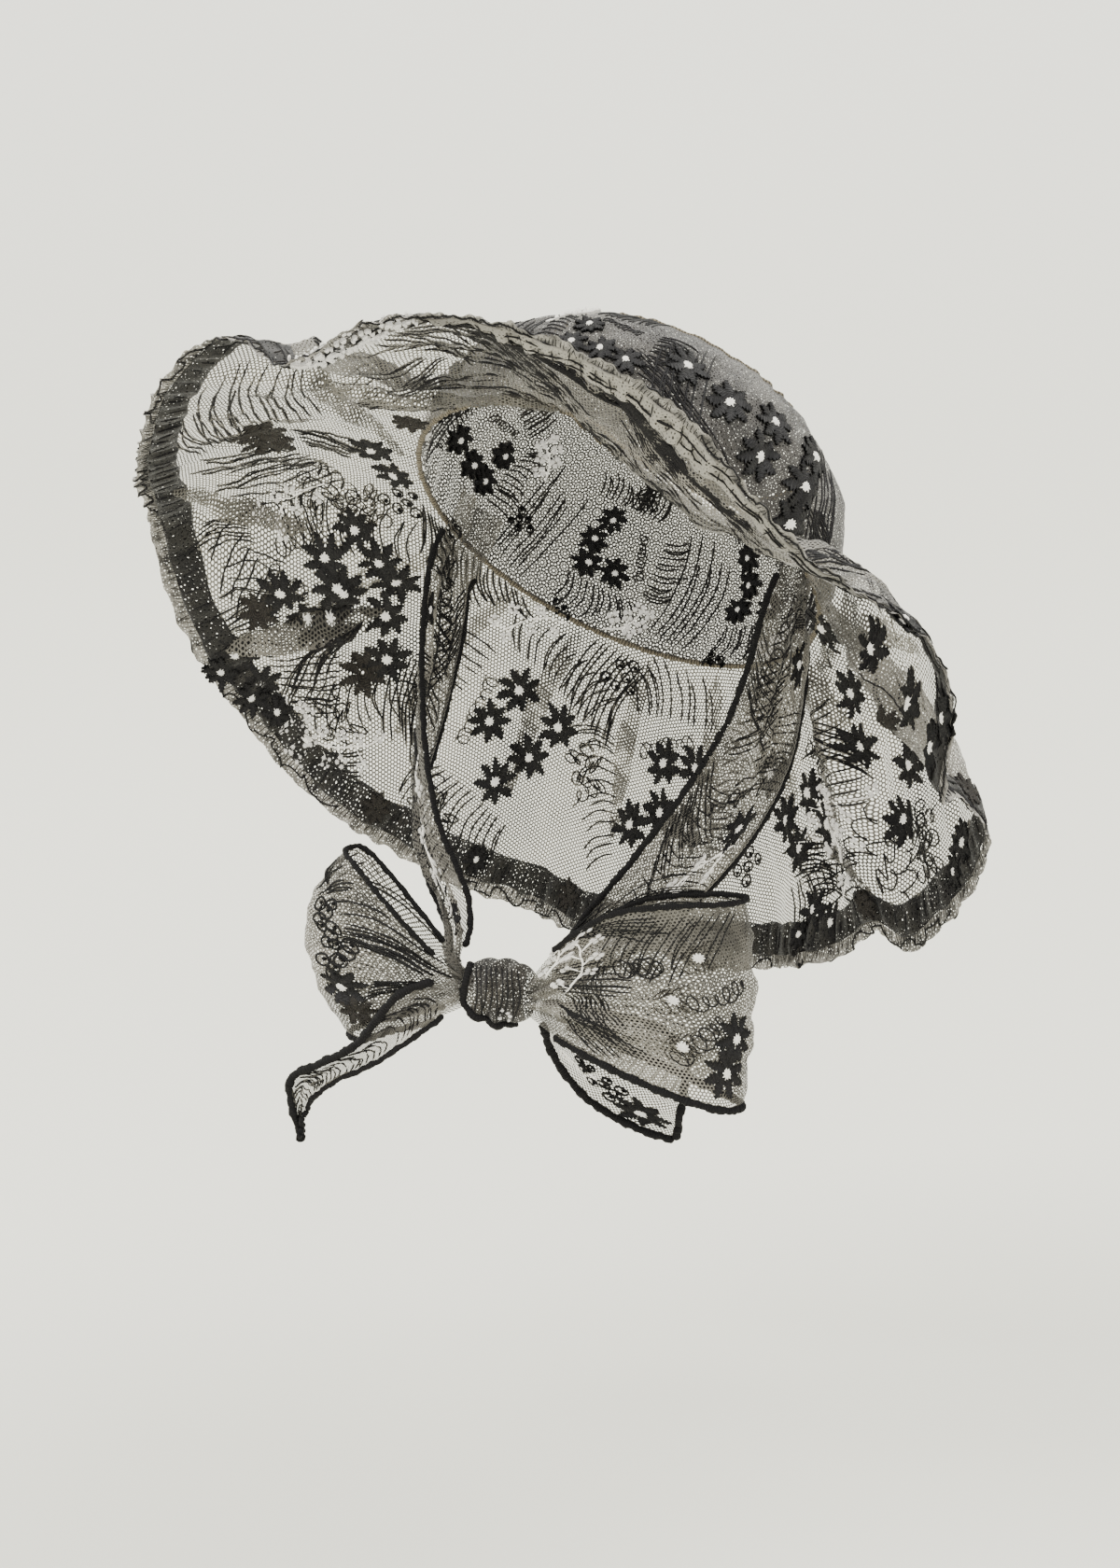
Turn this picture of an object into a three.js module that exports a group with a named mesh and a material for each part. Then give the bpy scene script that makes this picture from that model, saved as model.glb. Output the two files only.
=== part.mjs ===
// Soft net sun hat worn tilted back, with a fluted brim and two ties knotted in a bow under the chin.
// Millimetres, +Z up. The wearer faces -Y and the wearer's left is +X.
// The origin is the centre of the head opening, where the hat sits on the head.

import * as THREE from 'three';

const { Vector3 } = THREE;

// Head opening and crown
const OPENING_HALF_WIDTH = 84;
const OPENING_HALF_DEPTH = 102;
const BACKWARD_TILT = THREE.MathUtils.degToRad(43);
const CROWN_HEIGHT = 85;
const CROWN_BULGE = 6;
const CROWN_LEAN = 8;
const CROWN_FULLNESS = 2.2;
const TIP_SEAM_ANGLE = THREE.MathUtils.degToRad(52);
const TIP_SEAM_STEP = 0.5;
const GATHER_DEPTH = 1.3;
const GATHERS = 14;

// Brim, its hem band and the ruffled lip outside the band
const BRIM_WIDTH = 112;
const HEM_WIDTH = 14;
const LIP_WIDTH = 5.5;
const LIP_RUFFLE = 1.8;

// Ties and bow
const CHEEK_HALF_WIDTH = 84;
const CHIN_FORWARD = 97;
const KNOT_DROP = 165;
const TIE_WIDTH = 90;
const TIE_PLEAT = 2.2;
const TIE_PLEATS = 2;
const TIE_TUCK = 16;
const TIE_HUG = 3.6;
const TIE_ANGLE = THREE.MathUtils.degToRad(97);
const TIE_TUCK_SHARE = 0.36;
const TIE_END_SHARE = 0.11;
const TIE_TURN_SHARE = 0.04;
const TIE_UPRIGHT_FROM = 0.8;
const TIE_UPRIGHT_TO = 0.95;
const TIE_END_OUT = 22;
const TIE_END_BACK = 8;
const TIE_END_LIFT = 4;
const BOW_TURN = THREE.MathUtils.degToRad(12);
const LOOP_LENGTH = 95;
const LOOP_DEPTH = 20;
const TAIL_LENGTH = 100;
const KNOT_HALF_LENGTH = 13;
const KNOT_RADIUS = 13;
const KNOT_END_RADIUS = 11;
const KNOT_FULL_PLACE = 7;

// Cloth walls, edging cord and clearances
const NET_WALL = 1;
const HEM_WALL = 2.2;
const LIP_WALL = 1.4;
const EDGING_RADIUS = 1.4;
const GAP = 0.3;
const EDGING_GAP = 0.72;
const SEAM_GAP = 0.5;
const KNOT_GAP = 0.8;

// Facets
const BRIM_STEPS = 104;
const BRIM_ROWS = 5;
const CROWN_STEPS = 48;
const EDGING_SIDES = 5;

const hatAcross = new Vector3(1, 0, 0);
const hatBack = new Vector3(0, Math.cos(BACKWARD_TILT), -Math.sin(BACKWARD_TILT));
const hatUp = new Vector3(0, Math.sin(BACKWARD_TILT), Math.cos(BACKWARD_TILT));

// One row for each fold of the brim, going round from the centre front to the wearer's left.
// at: degrees round the opening. Shares of the whole brim: dip drops the brim's root, reach and rise
// place the hem outside and above the root, and belly bows the section upwards.
const brimFolds = [
  { at: 0, dip: 0, reach: 0.9, rise: -0.34, belly: 0.04 },
  { at: 10, dip: 0, reach: 0.92, rise: -0.28, belly: 0.02 },
  { at: 20, dip: -0.02, reach: 0.93, rise: -0.26, belly: -0.04 },
  { at: 30, dip: -0.06, reach: 0.93, rise: -0.25, belly: -0.09 },
  { at: 38, dip: -0.08, reach: 0.92, rise: -0.28, belly: -0.11 },
  { at: 46, dip: -0.08, reach: 0.89, rise: -0.37, belly: -0.09 },
  { at: 54, dip: -0.07, reach: 0.86, rise: -0.44, belly: -0.06 },
  { at: 62, dip: -0.04, reach: 0.84, rise: -0.46, belly: -0.01 },
  { at: 70, dip: -0.02, reach: 0.83, rise: -0.45, belly: 0.05 },
  { at: 78, dip: 0, reach: 0.79, rise: -0.5, belly: 0.07 },
  { at: 85, dip: 0, reach: 0.73, rise: -0.62, belly: 0.08 },
  { at: 89, dip: 0, reach: 0.7, rise: -0.7, belly: 0.04 },
  { at: 94, dip: 0, reach: 0.67, rise: -0.62, belly: -0.05 },
  { at: 100, dip: 0, reach: 0.71, rise: -0.59, belly: 0.06 },
  { at: 106, dip: 0, reach: 0.74, rise: -0.58, belly: 0.1 },
  { at: 114, dip: 0, reach: 0.74, rise: -0.66, belly: 0.1 },
  { at: 122, dip: 0, reach: 0.7, rise: -0.74, belly: 0.08 },
  { at: 129, dip: 0, reach: 0.66, rise: -0.8, belly: 0.05 },
  { at: 134, dip: 0, reach: 0.57, rise: -0.75, belly: -0.05 },
  { at: 142, dip: 0, reach: 0.57, rise: -0.8, belly: 0.06 },
  { at: 151, dip: 0, reach: 0.53, rise: -0.85, belly: 0.1 },
  { at: 162, dip: 0, reach: 0.6, rise: -0.82, belly: 0.05 },
  { at: 173, dip: 0, reach: 0.52, rise: -0.87, belly: 0.1 },
  { at: 185, dip: 0, reach: 0.6, rise: -0.82, belly: 0.05 },
  { at: 197, dip: 0, reach: 0.55, rise: -0.86, belly: 0.1 },
  { at: 209, dip: 0, reach: 0.65, rise: -0.79, belly: 0.05 },
  { at: 220, dip: 0, reach: 0.61, rise: -0.83, belly: 0.1 },
  { at: 231, dip: 0, reach: 0.69, rise: -0.79, belly: 0.06 },
  { at: 238, dip: 0, reach: 0.7, rise: -0.79, belly: 0.08 },
  { at: 246, dip: 0, reach: 0.79, rise: -0.71, belly: 0.07 },
  { at: 254, dip: 0, reach: 0.83, rise: -0.62, belly: 0.05 },
  { at: 263, dip: 0, reach: 0.87, rise: -0.54, belly: 0.02 },
  { at: 269, dip: 0, reach: 0.9, rise: -0.45, belly: 0.04 },
  { at: 276, dip: 0, reach: 0.92, rise: -0.32, belly: 0.08 },
  { at: 285, dip: 0, reach: 0.86, rise: -0.31, belly: 0.1 },
  { at: 300, dip: 0, reach: 0.78, rise: -0.41, belly: 0.1 },
  { at: 315, dip: 0, reach: 0.79, rise: -0.48, belly: 0.08 },
  { at: 329, dip: 0, reach: 0.88, rise: -0.46, belly: 0.05 },
  { at: 337, dip: 0, reach: 0.9, rise: -0.37, belly: 0.06 },
  { at: 344, dip: 0, reach: 0.88, rise: -0.38, belly: 0.04 },
  { at: 349, dip: 0, reach: 0.87, rise: -0.45, belly: 0.01 },
  { at: 355, dip: 0, reach: 0.88, rise: -0.43, belly: 0.04 },
];

// A row for each bend of a tie, from under the ear to beside the knot. Shares: out of the cheek's half
// width, fore of the chin's distance, drop of the knot's drop, wide of the tie's width.
const tieBends = [
  { out: 0.985, fore: 0.05, drop: 0.13, wide: 0.43 },
  { out: 0.98, fore: 0.13, drop: 0.28, wide: 0.49 },
  { out: 0.95, fore: 0.26, drop: 0.44, wide: 0.5 },
  { out: 0.86, fore: 0.46, drop: 0.58, wide: 0.44 },
  { out: 0.68, fore: 0.67, drop: 0.73, wide: 0.35 },
  { out: 0.43, fore: 0.8, drop: 0.87, wide: 0.24 },
];

// A row for each stage of a bow loop, from the back of the knot round the far end to its front.
// Shares: out of the loop's length, front of its depth, lift and spread of the tie's width, and bulge
// pushes the middle of the strip outwards, also a share of the loop's length.
const leftLoopStages = [
  { out: 0.14, front: 0, lift: 0, spread: 0.14, bulge: 0 },
  { out: 0.32, front: -0.02, lift: 0.07, spread: 0.4, bulge: 0 },
  { out: 0.6, front: -0.08, lift: 0.13, spread: 0.7, bulge: 0 },
  { out: 0.9, front: -0.1, lift: 0.11, spread: 0.88, bulge: 0.01 },
  { out: 1.05, front: 0.04, lift: 0.1, spread: 0.94, bulge: 0.03 },
  { out: 1.08, front: 0.32, lift: 0.1, spread: 0.95, bulge: 0.04 },
  { out: 1, front: 0.6, lift: 0.1, spread: 0.94, bulge: 0.03 },
  { out: 0.8, front: 0.78, lift: 0.12, spread: 0.86, bulge: 0.01 },
  { out: 0.54, front: 0.78, lift: 0.13, spread: 0.7, bulge: 0 },
  { out: 0.3, front: 0.62, lift: 0.08, spread: 0.42, bulge: 0 },
  { out: 0.14, front: 0.28, lift: 0, spread: 0.14, bulge: 0 },
];

const rightLoopStages = [
  { out: 0.14, front: 0, lift: 0, spread: 0.14, bulge: 0 },
  { out: 0.28, front: -0.02, lift: 0.06, spread: 0.34, bulge: 0 },
  { out: 0.46, front: -0.08, lift: 0.13, spread: 0.62, bulge: 0.02 },
  { out: 0.6, front: -0.04, lift: 0.18, spread: 0.82, bulge: 0.1 },
  { out: 0.66, front: 0.14, lift: 0.18, spread: 0.86, bulge: 0.18 },
  { out: 0.66, front: 0.4, lift: 0.17, spread: 0.86, bulge: 0.18 },
  { out: 0.58, front: 0.66, lift: 0.15, spread: 0.8, bulge: 0.1 },
  { out: 0.44, front: 0.74, lift: 0.11, spread: 0.58, bulge: 0.02 },
  { out: 0.28, front: 0.6, lift: 0.04, spread: 0.34, bulge: 0 },
  { out: 0.14, front: 0.28, lift: 0, spread: 0.14, bulge: 0 },
];

// A row for each bend of a tail. Shares: out and drop of the tail's length, front of the loop's depth,
// wide of the tie's width, turn in degrees that the strip leans from upright.
const leftTailBends = [
  { out: 0.14, front: -0.4, drop: 0.1, wide: 0.05, turn: 0 },
  { out: 0.22, front: -0.68, drop: 0.18, wide: 0.22, turn: 24 },
  { out: 0.37, front: -0.95, drop: 0.28, wide: 0.38, turn: 22 },
  { out: 0.55, front: -1, drop: 0.34, wide: 0.42, turn: 16 },
  { out: 0.71, front: -0.95, drop: 0.42, wide: 0.34, turn: 8 },
];

const rightTailBends = [
  { out: 0.14, front: 0.48, drop: -0.02, wide: 0.1, turn: 4 },
  { out: 0.3, front: 1.05, drop: 0.05, wide: 0.18, turn: 30 },
  { out: 0.49, front: 1.2, drop: 0.24, wide: 0.1, turn: 42 },
  { out: 0.66, front: 1.15, drop: 0.35, wide: 0.09, turn: 38 },
  { out: 0.79, front: 1.05, drop: 0.46, wide: 0.13, turn: 62 },
  { out: 0.8, front: 1, drop: 0.66, wide: 0.1, turn: 92 },
];

const wholeBrim = BRIM_WIDTH + HEM_WIDTH;

// Value of a smooth curve through four neighbouring row values at places before, from, to and after.
function throughRows(values, places, place) {
  const [before, from, to, after] = values;
  const [beforeAt, fromAt, toAt, afterAt] = places;
  const span = toAt - fromAt;
  const t = (place - fromAt) / span;
  const leave = (to - before) / (toAt - beforeAt) * span;
  const arrive = (after - from) / (afterAt - fromAt) * span;
  const start = (2 * t ** 3 - 3 * t ** 2 + 1) * from + (t ** 3 - 2 * t ** 2 + t) * leave;
  return start + (3 * t ** 2 - 2 * t ** 3) * to + (t ** 3 - t ** 2) * arrive;
}

// Every column of a closed table of rows at an angle in degrees.
function roundTable(rows, degrees) {
  const count = rows.length;
  const at = THREE.MathUtils.euclideanModulo(degrees, 360);
  let from = count - 1;
  while (rows[from].at > at) from -= 1;
  const picks = [from - 1, from, from + 1, from + 2];
  const places = picks.map((n) => rows[(n + count) % count].at + 360 * Math.floor(n / count));
  const result = {};
  for (const key of Object.keys(rows[0])) {
    const values = picks.map((n) => rows[(n + count) % count][key]);
    result[key] = throughRows(values, places, at);
  }
  return result;
}

// Every column of an open table of evenly spaced rows, at a share of its length.
function openTable(rows, share) {
  const last = rows.length - 1;
  const place = THREE.MathUtils.clamp(share, 0, 1) * last;
  const from = Math.min(Math.floor(place), last - 1);
  const picks = [from - 1, from, from + 1, from + 2];
  const result = {};
  for (const key of Object.keys(rows[0])) {
    const values = picks.map((n) => rows[THREE.MathUtils.clamp(n, 0, last)][key]);
    result[key] = throughRows(values, picks, place);
  }
  return result;
}

function fromHat(across, back, up) {
  const point = hatAcross.clone().multiplyScalar(across);
  return point.addScaledVector(hatBack, back).addScaledVector(hatUp, up);
}

// Normal of a surface, by small steps either side of a place on it.
function surfaceNormal(surface, u, v) {
  const step = 0.002;
  const alongU = surface(u + step, v).sub(surface(u - step, v));
  const alongV = surface(u, v + step).sub(surface(u, v - step));
  return alongU.cross(alongV).normalize();
}

// Closed cloth wall on a surface of u and v from 0 to 1. A ring joins up in u, and a pole closes v = 1.
function clothWall(surface, { across, along, wall, ring = false, pole = null }) {
  const columns = ring ? across : across + 1;
  const fullRows = pole ? along : along + 1;
  const points = [];
  for (const side of [0.5, -0.5]) {
    for (let row = 0; row < fullRows; row += 1) {
      for (let column = 0; column < columns; column += 1) {
        const u = column / across;
        const v = row / along;
        const normal = surfaceNormal(surface, u, v);
        points.push(surface(u, v).addScaledVector(normal, side * wall));
      }
    }
    if (pole) points.push(surface(0, 1).addScaledVector(pole, side * wall));
  }
  const faceSize = points.length / 2;
  const index = [];
  const quad = (a, b, c, d) => index.push(a, b, c, a, c, d);
  const place = (column, row, under) => under * faceSize + row * columns + column % columns;
  for (let row = 0; row < fullRows - 1; row += 1) {
    for (let column = 0; column < across; column += 1) {
      const next = column + 1;
      quad(place(column, row, 0), place(next, row, 0), place(next, row + 1, 0), place(column, row + 1, 0));
      quad(place(column, row, 1), place(column, row + 1, 1), place(next, row + 1, 1), place(next, row, 1));
    }
  }
  const top = fullRows - 1;
  for (let column = 0; column < across; column += 1) {
    quad(place(column, 0, 0), place(column, 0, 1), place(column + 1, 0, 1), place(column + 1, 0, 0));
    if (pole) {
      index.push(place(column, top, 0), place(column + 1, top, 0), faceSize - 1);
      index.push(place(column + 1, top, 1), place(column, top, 1), 2 * faceSize - 1);
    } else {
      const next = column + 1;
      quad(place(column, top, 0), place(next, top, 0), place(next, top, 1), place(column, top, 1));
    }
  }
  if (!ring) {
    for (let row = 0; row < fullRows - 1; row += 1) {
      const next = row + 1;
      quad(place(0, row, 0), place(0, next, 0), place(0, next, 1), place(0, row, 1));
      quad(place(across, row, 0), place(across, row, 1), place(across, next, 1), place(across, next, 0));
    }
  }
  return facingOut(points, index);
}

// Geometry with its faces turned so that the volume inside is positive.
function facingOut(points, index) {
  let volume = 0;
  for (let n = 0; n < index.length; n += 3) {
    const across = points[index[n + 1]].clone().cross(points[index[n + 2]]);
    volume += points[index[n]].dot(across);
  }
  const order = volume < 0 ? index.slice().reverse() : index;
  const geometry = new THREE.BufferGeometry().setFromPoints(points);
  geometry.setIndex(order);
  geometry.computeVertexNormals();
  return geometry;
}

// Cord of a round section along a curve.
function cord(points, steps) {
  const section = new THREE.Shape();
  for (let side = 0; side < EDGING_SIDES; side += 1) {
    const angle = 2 * Math.PI * side / EDGING_SIDES;
    const x = EDGING_RADIUS * Math.cos(angle);
    const y = EDGING_RADIUS * Math.sin(angle);
    if (side === 0) section.moveTo(x, y);
    else section.lineTo(x, y);
  }
  const extrudePath = new THREE.CatmullRomCurve3(points);
  return new THREE.ExtrudeGeometry(section, { steps, bevelEnabled: false, extrudePath });
}

const group = new THREE.Group();
const netColor = { color: 0x9c958a, roughness: 0.85, metalness: 0 };
const bandColor = { color: 0x57524c, roughness: 0.85, metalness: 0 };
const lipColor = { color: 0x8b857b, roughness: 0.85, metalness: 0 };
const edgingColor = { color: 0x1a1818, roughness: 0.7, metalness: 0 };

function addPiece(name, geometry, finish) {
  const mesh = new THREE.Mesh(geometry, new THREE.MeshStandardMaterial(finish));
  mesh.name = name;
  group.add(mesh);
}

// Point of the head opening, on the outside of the crown's wall, as distance and direction.
function openingAt(turn) {
  const across = OPENING_HALF_WIDTH * Math.sin(turn);
  const back = -OPENING_HALF_DEPTH * Math.cos(turn);
  const radius = Math.hypot(across, back);
  return { radius, across: across / radius, back: back / radius };
}

function brimRoot(turn) {
  return roundTable(brimFolds, THREE.MathUtils.radToDeg(turn)).dip * wholeBrim;
}

// Crown: a gathered side and a domed tip that the side's upper edge stands just outside of
function crownPoint(turn, angle, gathers) {
  const opening = openingAt(turn);
  const height = Math.sin(angle) ** (2 / CROWN_FULLNESS);
  const narrow = Math.max(Math.cos(angle), 0) ** (2 / CROWN_FULLNESS);
  const pleat = gathers * GATHER_DEPTH * Math.cos(GATHERS * turn) * narrow;
  const bulge = (CROWN_BULGE * Math.sin(Math.PI * height) + pleat) * Math.min(narrow * 2, 1);
  const radius = (opening.radius - NET_WALL / 2) * narrow + bulge;
  const back = opening.back * radius + CROWN_LEAN * height ** 2;
  const up = CROWN_HEIGHT * height + brimRoot(turn) * (1 - height) ** 2;
  return fromHat(opening.across * radius, back, up);
}

function crownSide(u, v) {
  const rise = THREE.MathUtils.clamp(v, 0, 1);
  const angle = rise * TIP_SEAM_ANGLE;
  const point = crownPoint(2 * Math.PI * u, angle, Math.sin(Math.PI * rise));
  const flare = TIP_SEAM_STEP * rise ** 6;
  const opening = openingAt(2 * Math.PI * u);
  return point.add(fromHat(opening.across * flare, opening.back * flare, 0));
}

function crownTip(u, v) {
  const start = TIP_SEAM_ANGLE + SEAM_GAP / CROWN_HEIGHT;
  const rise = THREE.MathUtils.clamp(v, 0, 1);
  const angle = THREE.MathUtils.lerp(start, Math.PI / 2, rise);
  return crownPoint(2 * Math.PI * u, angle, 0);
}

// Brim, hem band and lip share one surface, split into three rings by distance from the root
function brimPoint(turn, distance, ruffle) {
  const fold = roundTable(brimFolds, THREE.MathUtils.radToDeg(turn));
  const share = distance / wholeBrim;
  const opening = openingAt(turn);
  const length = Math.hypot(fold.reach, fold.rise);
  const bow = fold.belly * Math.sin(Math.PI * share) + ruffle / wholeBrim;
  const out = (fold.reach * share - fold.rise / length * bow) * wholeBrim + opening.radius + GAP;
  const up = (fold.dip + fold.rise * share + fold.reach / length * bow) * wholeBrim;
  return fromHat(opening.across * out, opening.back * out, up);
}

function brimRing(start, end, ruffle = 0) {
  return (u, v) => {
    const wave = ruffle * v * Math.cos(Math.PI * BRIM_STEPS * u);
    return brimPoint(2 * Math.PI * u, THREE.MathUtils.lerp(start, end, v), wave);
  };
}

const ringSize = { across: BRIM_STEPS, ring: true };
const crownSize = { across: CROWN_STEPS, wall: NET_WALL, ring: true };
addPiece('crown_side', clothWall(crownSide, { ...crownSize, along: 5 }), netColor);
addPiece('crown_tip', clothWall(crownTip, { ...crownSize, along: 4, pole: hatUp }), netColor);

const brimSize = { ...ringSize, along: BRIM_ROWS, wall: NET_WALL };
addPiece('brim', clothWall(brimRing(0, BRIM_WIDTH), brimSize), netColor);

const bandStart = BRIM_WIDTH + SEAM_GAP;
const lipStart = wholeBrim + SEAM_GAP;
const band = brimRing(bandStart, wholeBrim);
const lip = brimRing(lipStart, lipStart + LIP_WIDTH, LIP_RUFFLE);
addPiece('hem_band', clothWall(band, { ...ringSize, along: 1, wall: HEM_WALL }), bandColor);
addPiece('hem_lip', clothWall(lip, { ...ringSize, along: 1, wall: LIP_WALL }), lipColor);

// Bow frame at the knot: along the bow to the wearer's left, forward, and up
const knotCentre = new Vector3(0, -CHIN_FORWARD, -KNOT_DROP);
const bowAlong = new Vector3(Math.cos(BOW_TURN), Math.sin(BOW_TURN), 0);
const bowFront = new Vector3(Math.sin(BOW_TURN), -Math.cos(BOW_TURN), 0);
const up = new Vector3(0, 0, 1);

function bowPoint(along, front, lift) {
  const point = knotCentre.clone().addScaledVector(bowAlong, along);
  return point.addScaledVector(bowFront, front).addScaledVector(up, lift);
}

// Knot: a barrel of wrapped cloth lying along the bow, with flat ends that the strips come out of
function knotBarrel() {
  const profile = [
    new THREE.Vector2(0, -KNOT_HALF_LENGTH),
    new THREE.Vector2(KNOT_END_RADIUS, -KNOT_HALF_LENGTH),
    new THREE.Vector2(KNOT_RADIUS, -KNOT_FULL_PLACE),
    new THREE.Vector2(KNOT_RADIUS, KNOT_FULL_PLACE),
    new THREE.Vector2(KNOT_END_RADIUS, KNOT_HALF_LENGTH),
    new THREE.Vector2(0, KNOT_HALF_LENGTH),
  ];
  return new THREE.LatheGeometry(profile, 20);
}

const knot = new THREE.Mesh(knotBarrel(), new THREE.MeshStandardMaterial(netColor));
knot.name = 'knot';
knot.position.copy(knotCentre);
knot.quaternion.setFromUnitVectors(up.clone().set(0, 1, 0), bowAlong);
group.add(knot);

// Ties: each starts inside the crown above the ear, lies along the cheek and ends beside the knot
const tieInset = NET_WALL * 1.5 + 2 * GAP + TIE_PLEAT / 2;
const tieSetback = KNOT_END_RADIUS * 0.6;

function tieRoute(side) {
  const opening = openingAt(TIE_ANGLE);
  const radius = opening.radius - tieInset;
  const tuck = [TIE_TUCK, 0].map((lift) => {
    const point = fromHat(opening.across * radius, opening.back * radius, lift);
    return { point, wide: TIE_TUCK_SHARE };
  });
  const bends = tieBends.map((bend) => {
    const point = new Vector3(bend.out * CHEEK_HALF_WIDTH, -bend.fore * CHIN_FORWARD, 0);
    point.z = -bend.drop * KNOT_DROP;
    return { point, wide: bend.wide };
  });
  const end = bowPoint(side * (KNOT_HALF_LENGTH + KNOT_GAP), -tieSetback, 0);
  const before = bowPoint(side * TIE_END_OUT, -TIE_END_BACK, TIE_END_LIFT);
  for (const point of [before, end]) point.x *= side;
  const ends = [before, end].map((point) => ({ point, wide: TIE_END_SHARE }));
  const rows = [...tuck, ...bends, ...ends];
  return rows.map(({ point, wide }) => ({ x: side * point.x, y: point.y, z: point.z, wide }));
}

function tieSurface(side) {
  const rows = tieRoute(side);
  const centre = (v) => {
    const row = openTable(rows, v);
    return new Vector3(row.x, row.y, row.z);
  };
  return (u, v) => {
    const place = THREE.MathUtils.clamp(v, TIE_TURN_SHARE, 1 - TIE_TURN_SHARE);
    const row = openTable(rows, v);
    const heading = centre(place + TIE_TURN_SHARE).sub(centre(place - TIE_TURN_SHARE)).normalize();
    const faceward = new Vector3(row.x, row.y, 0).normalize();
    const spread = heading.clone().cross(faceward).normalize();
    const upright = THREE.MathUtils.smoothstep(v, TIE_UPRIGHT_FROM, TIE_UPRIGHT_TO);
    spread.lerp(up.clone().multiplyScalar(side), upright).normalize();
    const outward = spread.clone().cross(heading).normalize();
    const pleat = TIE_PLEAT / 2 * Math.sin(2 * Math.PI * TIE_PLEATS * u) * (1 - upright);
    const hug = TIE_HUG * (2 * u - 1) ** 2 * (1 - upright);
    const reach = (u - 0.5) * row.wide * TIE_WIDTH;
    return centre(v).addScaledVector(spread, reach).addScaledVector(outward, pleat - hug);
  };
}

// Bow loops: a strip out from the back of the knot, round its far end and back to the front
function loopSurface(side, stages) {
  return (u, v) => {
    const stage = openTable(stages, v);
    const acrossPlace = u - 0.5;
    const push = stage.bulge * LOOP_LENGTH * (1 - 4 * acrossPlace ** 2);
    const ends = (KNOT_HALF_LENGTH + KNOT_GAP) / LOOP_LENGTH;
    const out = Math.max(stage.out, ends) * LOOP_LENGTH + push;
    const lift = (stage.lift + acrossPlace * stage.spread) * TIE_WIDTH;
    return bowPoint(side * out, stage.front * LOOP_DEPTH, lift);
  };
}

// Tails: a strip that leaves the knot below its loop and hangs out to the side
function tailSurface(side, bends) {
  return (u, v) => {
    const bend = openTable(bends, v);
    const lean = THREE.MathUtils.degToRad(bend.turn);
    const reach = (u - 0.5) * bend.wide * TIE_WIDTH;
    const ends = (KNOT_HALF_LENGTH + KNOT_GAP) / TAIL_LENGTH;
    const out = Math.max(bend.out, ends) * TAIL_LENGTH + reach * Math.sin(lean);
    const lift = reach * Math.cos(lean) - bend.drop * TAIL_LENGTH;
    return bowPoint(side * out, bend.front * LOOP_DEPTH, lift);
  };
}

// Rolled edging just outside one long edge of a strip
function edgePath(surface, edge, steps, from, to) {
  const points = [];
  for (let step = 0; step <= steps; step += 1) {
    const v = THREE.MathUtils.lerp(from, to, step / steps);
    const rim = surface(edge, v);
    const outward = rim.clone().sub(surface(THREE.MathUtils.lerp(edge, 0.5, 0.1), v)).normalize();
    points.push(rim.addScaledVector(outward, EDGING_RADIUS + EDGING_GAP));
  }
  return points;
}

function addStrip(name, surface, { across, along, steps, from, to }) {
  addPiece(name, clothWall(surface, { across, along, wall: NET_WALL }), netColor);
  addPiece(`${name}_edging_a`, cord(edgePath(surface, 0, steps, from, to), steps), edgingColor);
  addPiece(`${name}_edging_b`, cord(edgePath(surface, 1, steps, from, to), steps), edgingColor);
}

const tieSize = { across: 8, along: 18, steps: 18, from: 0.17, to: 0.86 };
const loopSize = { across: 6, along: 20, steps: 20, from: 0.09, to: 0.91 };
const tailSize = { across: 4, along: 12, steps: 12, from: 0.25, to: 1 };
for (const [hand, side] of [['left', 1], ['right', -1]]) {
  addStrip(`tie_${hand}`, tieSurface(side), tieSize);
}
addStrip('loop_left', loopSurface(1, leftLoopStages), loopSize);
addStrip('loop_right', loopSurface(-1, rightLoopStages), loopSize);
addStrip('tail_left', tailSurface(1, leftTailBends), tailSize);
addStrip('tail_right', tailSurface(-1, rightTailBends), tailSize);

export default group;
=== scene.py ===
# Soft embroidered net sun hat with chin ties knotted in a bow: its looks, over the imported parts
import math

import bpy
import numpy as np
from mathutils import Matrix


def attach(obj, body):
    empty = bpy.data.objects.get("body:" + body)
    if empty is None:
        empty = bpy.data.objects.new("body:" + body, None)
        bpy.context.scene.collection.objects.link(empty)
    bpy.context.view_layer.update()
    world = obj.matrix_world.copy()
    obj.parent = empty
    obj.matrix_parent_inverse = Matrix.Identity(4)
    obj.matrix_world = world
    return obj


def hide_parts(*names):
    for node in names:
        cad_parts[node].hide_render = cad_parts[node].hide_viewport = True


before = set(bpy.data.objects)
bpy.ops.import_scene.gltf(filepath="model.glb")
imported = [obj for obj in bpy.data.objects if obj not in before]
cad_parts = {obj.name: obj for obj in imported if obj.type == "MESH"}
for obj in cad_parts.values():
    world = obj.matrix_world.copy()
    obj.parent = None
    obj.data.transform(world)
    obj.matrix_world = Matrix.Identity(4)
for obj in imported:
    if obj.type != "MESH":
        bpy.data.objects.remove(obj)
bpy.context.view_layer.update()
mm = 0.001
chance = np.random.default_rng(11)
print("frame loaded:", len(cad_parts), "parts")

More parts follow.
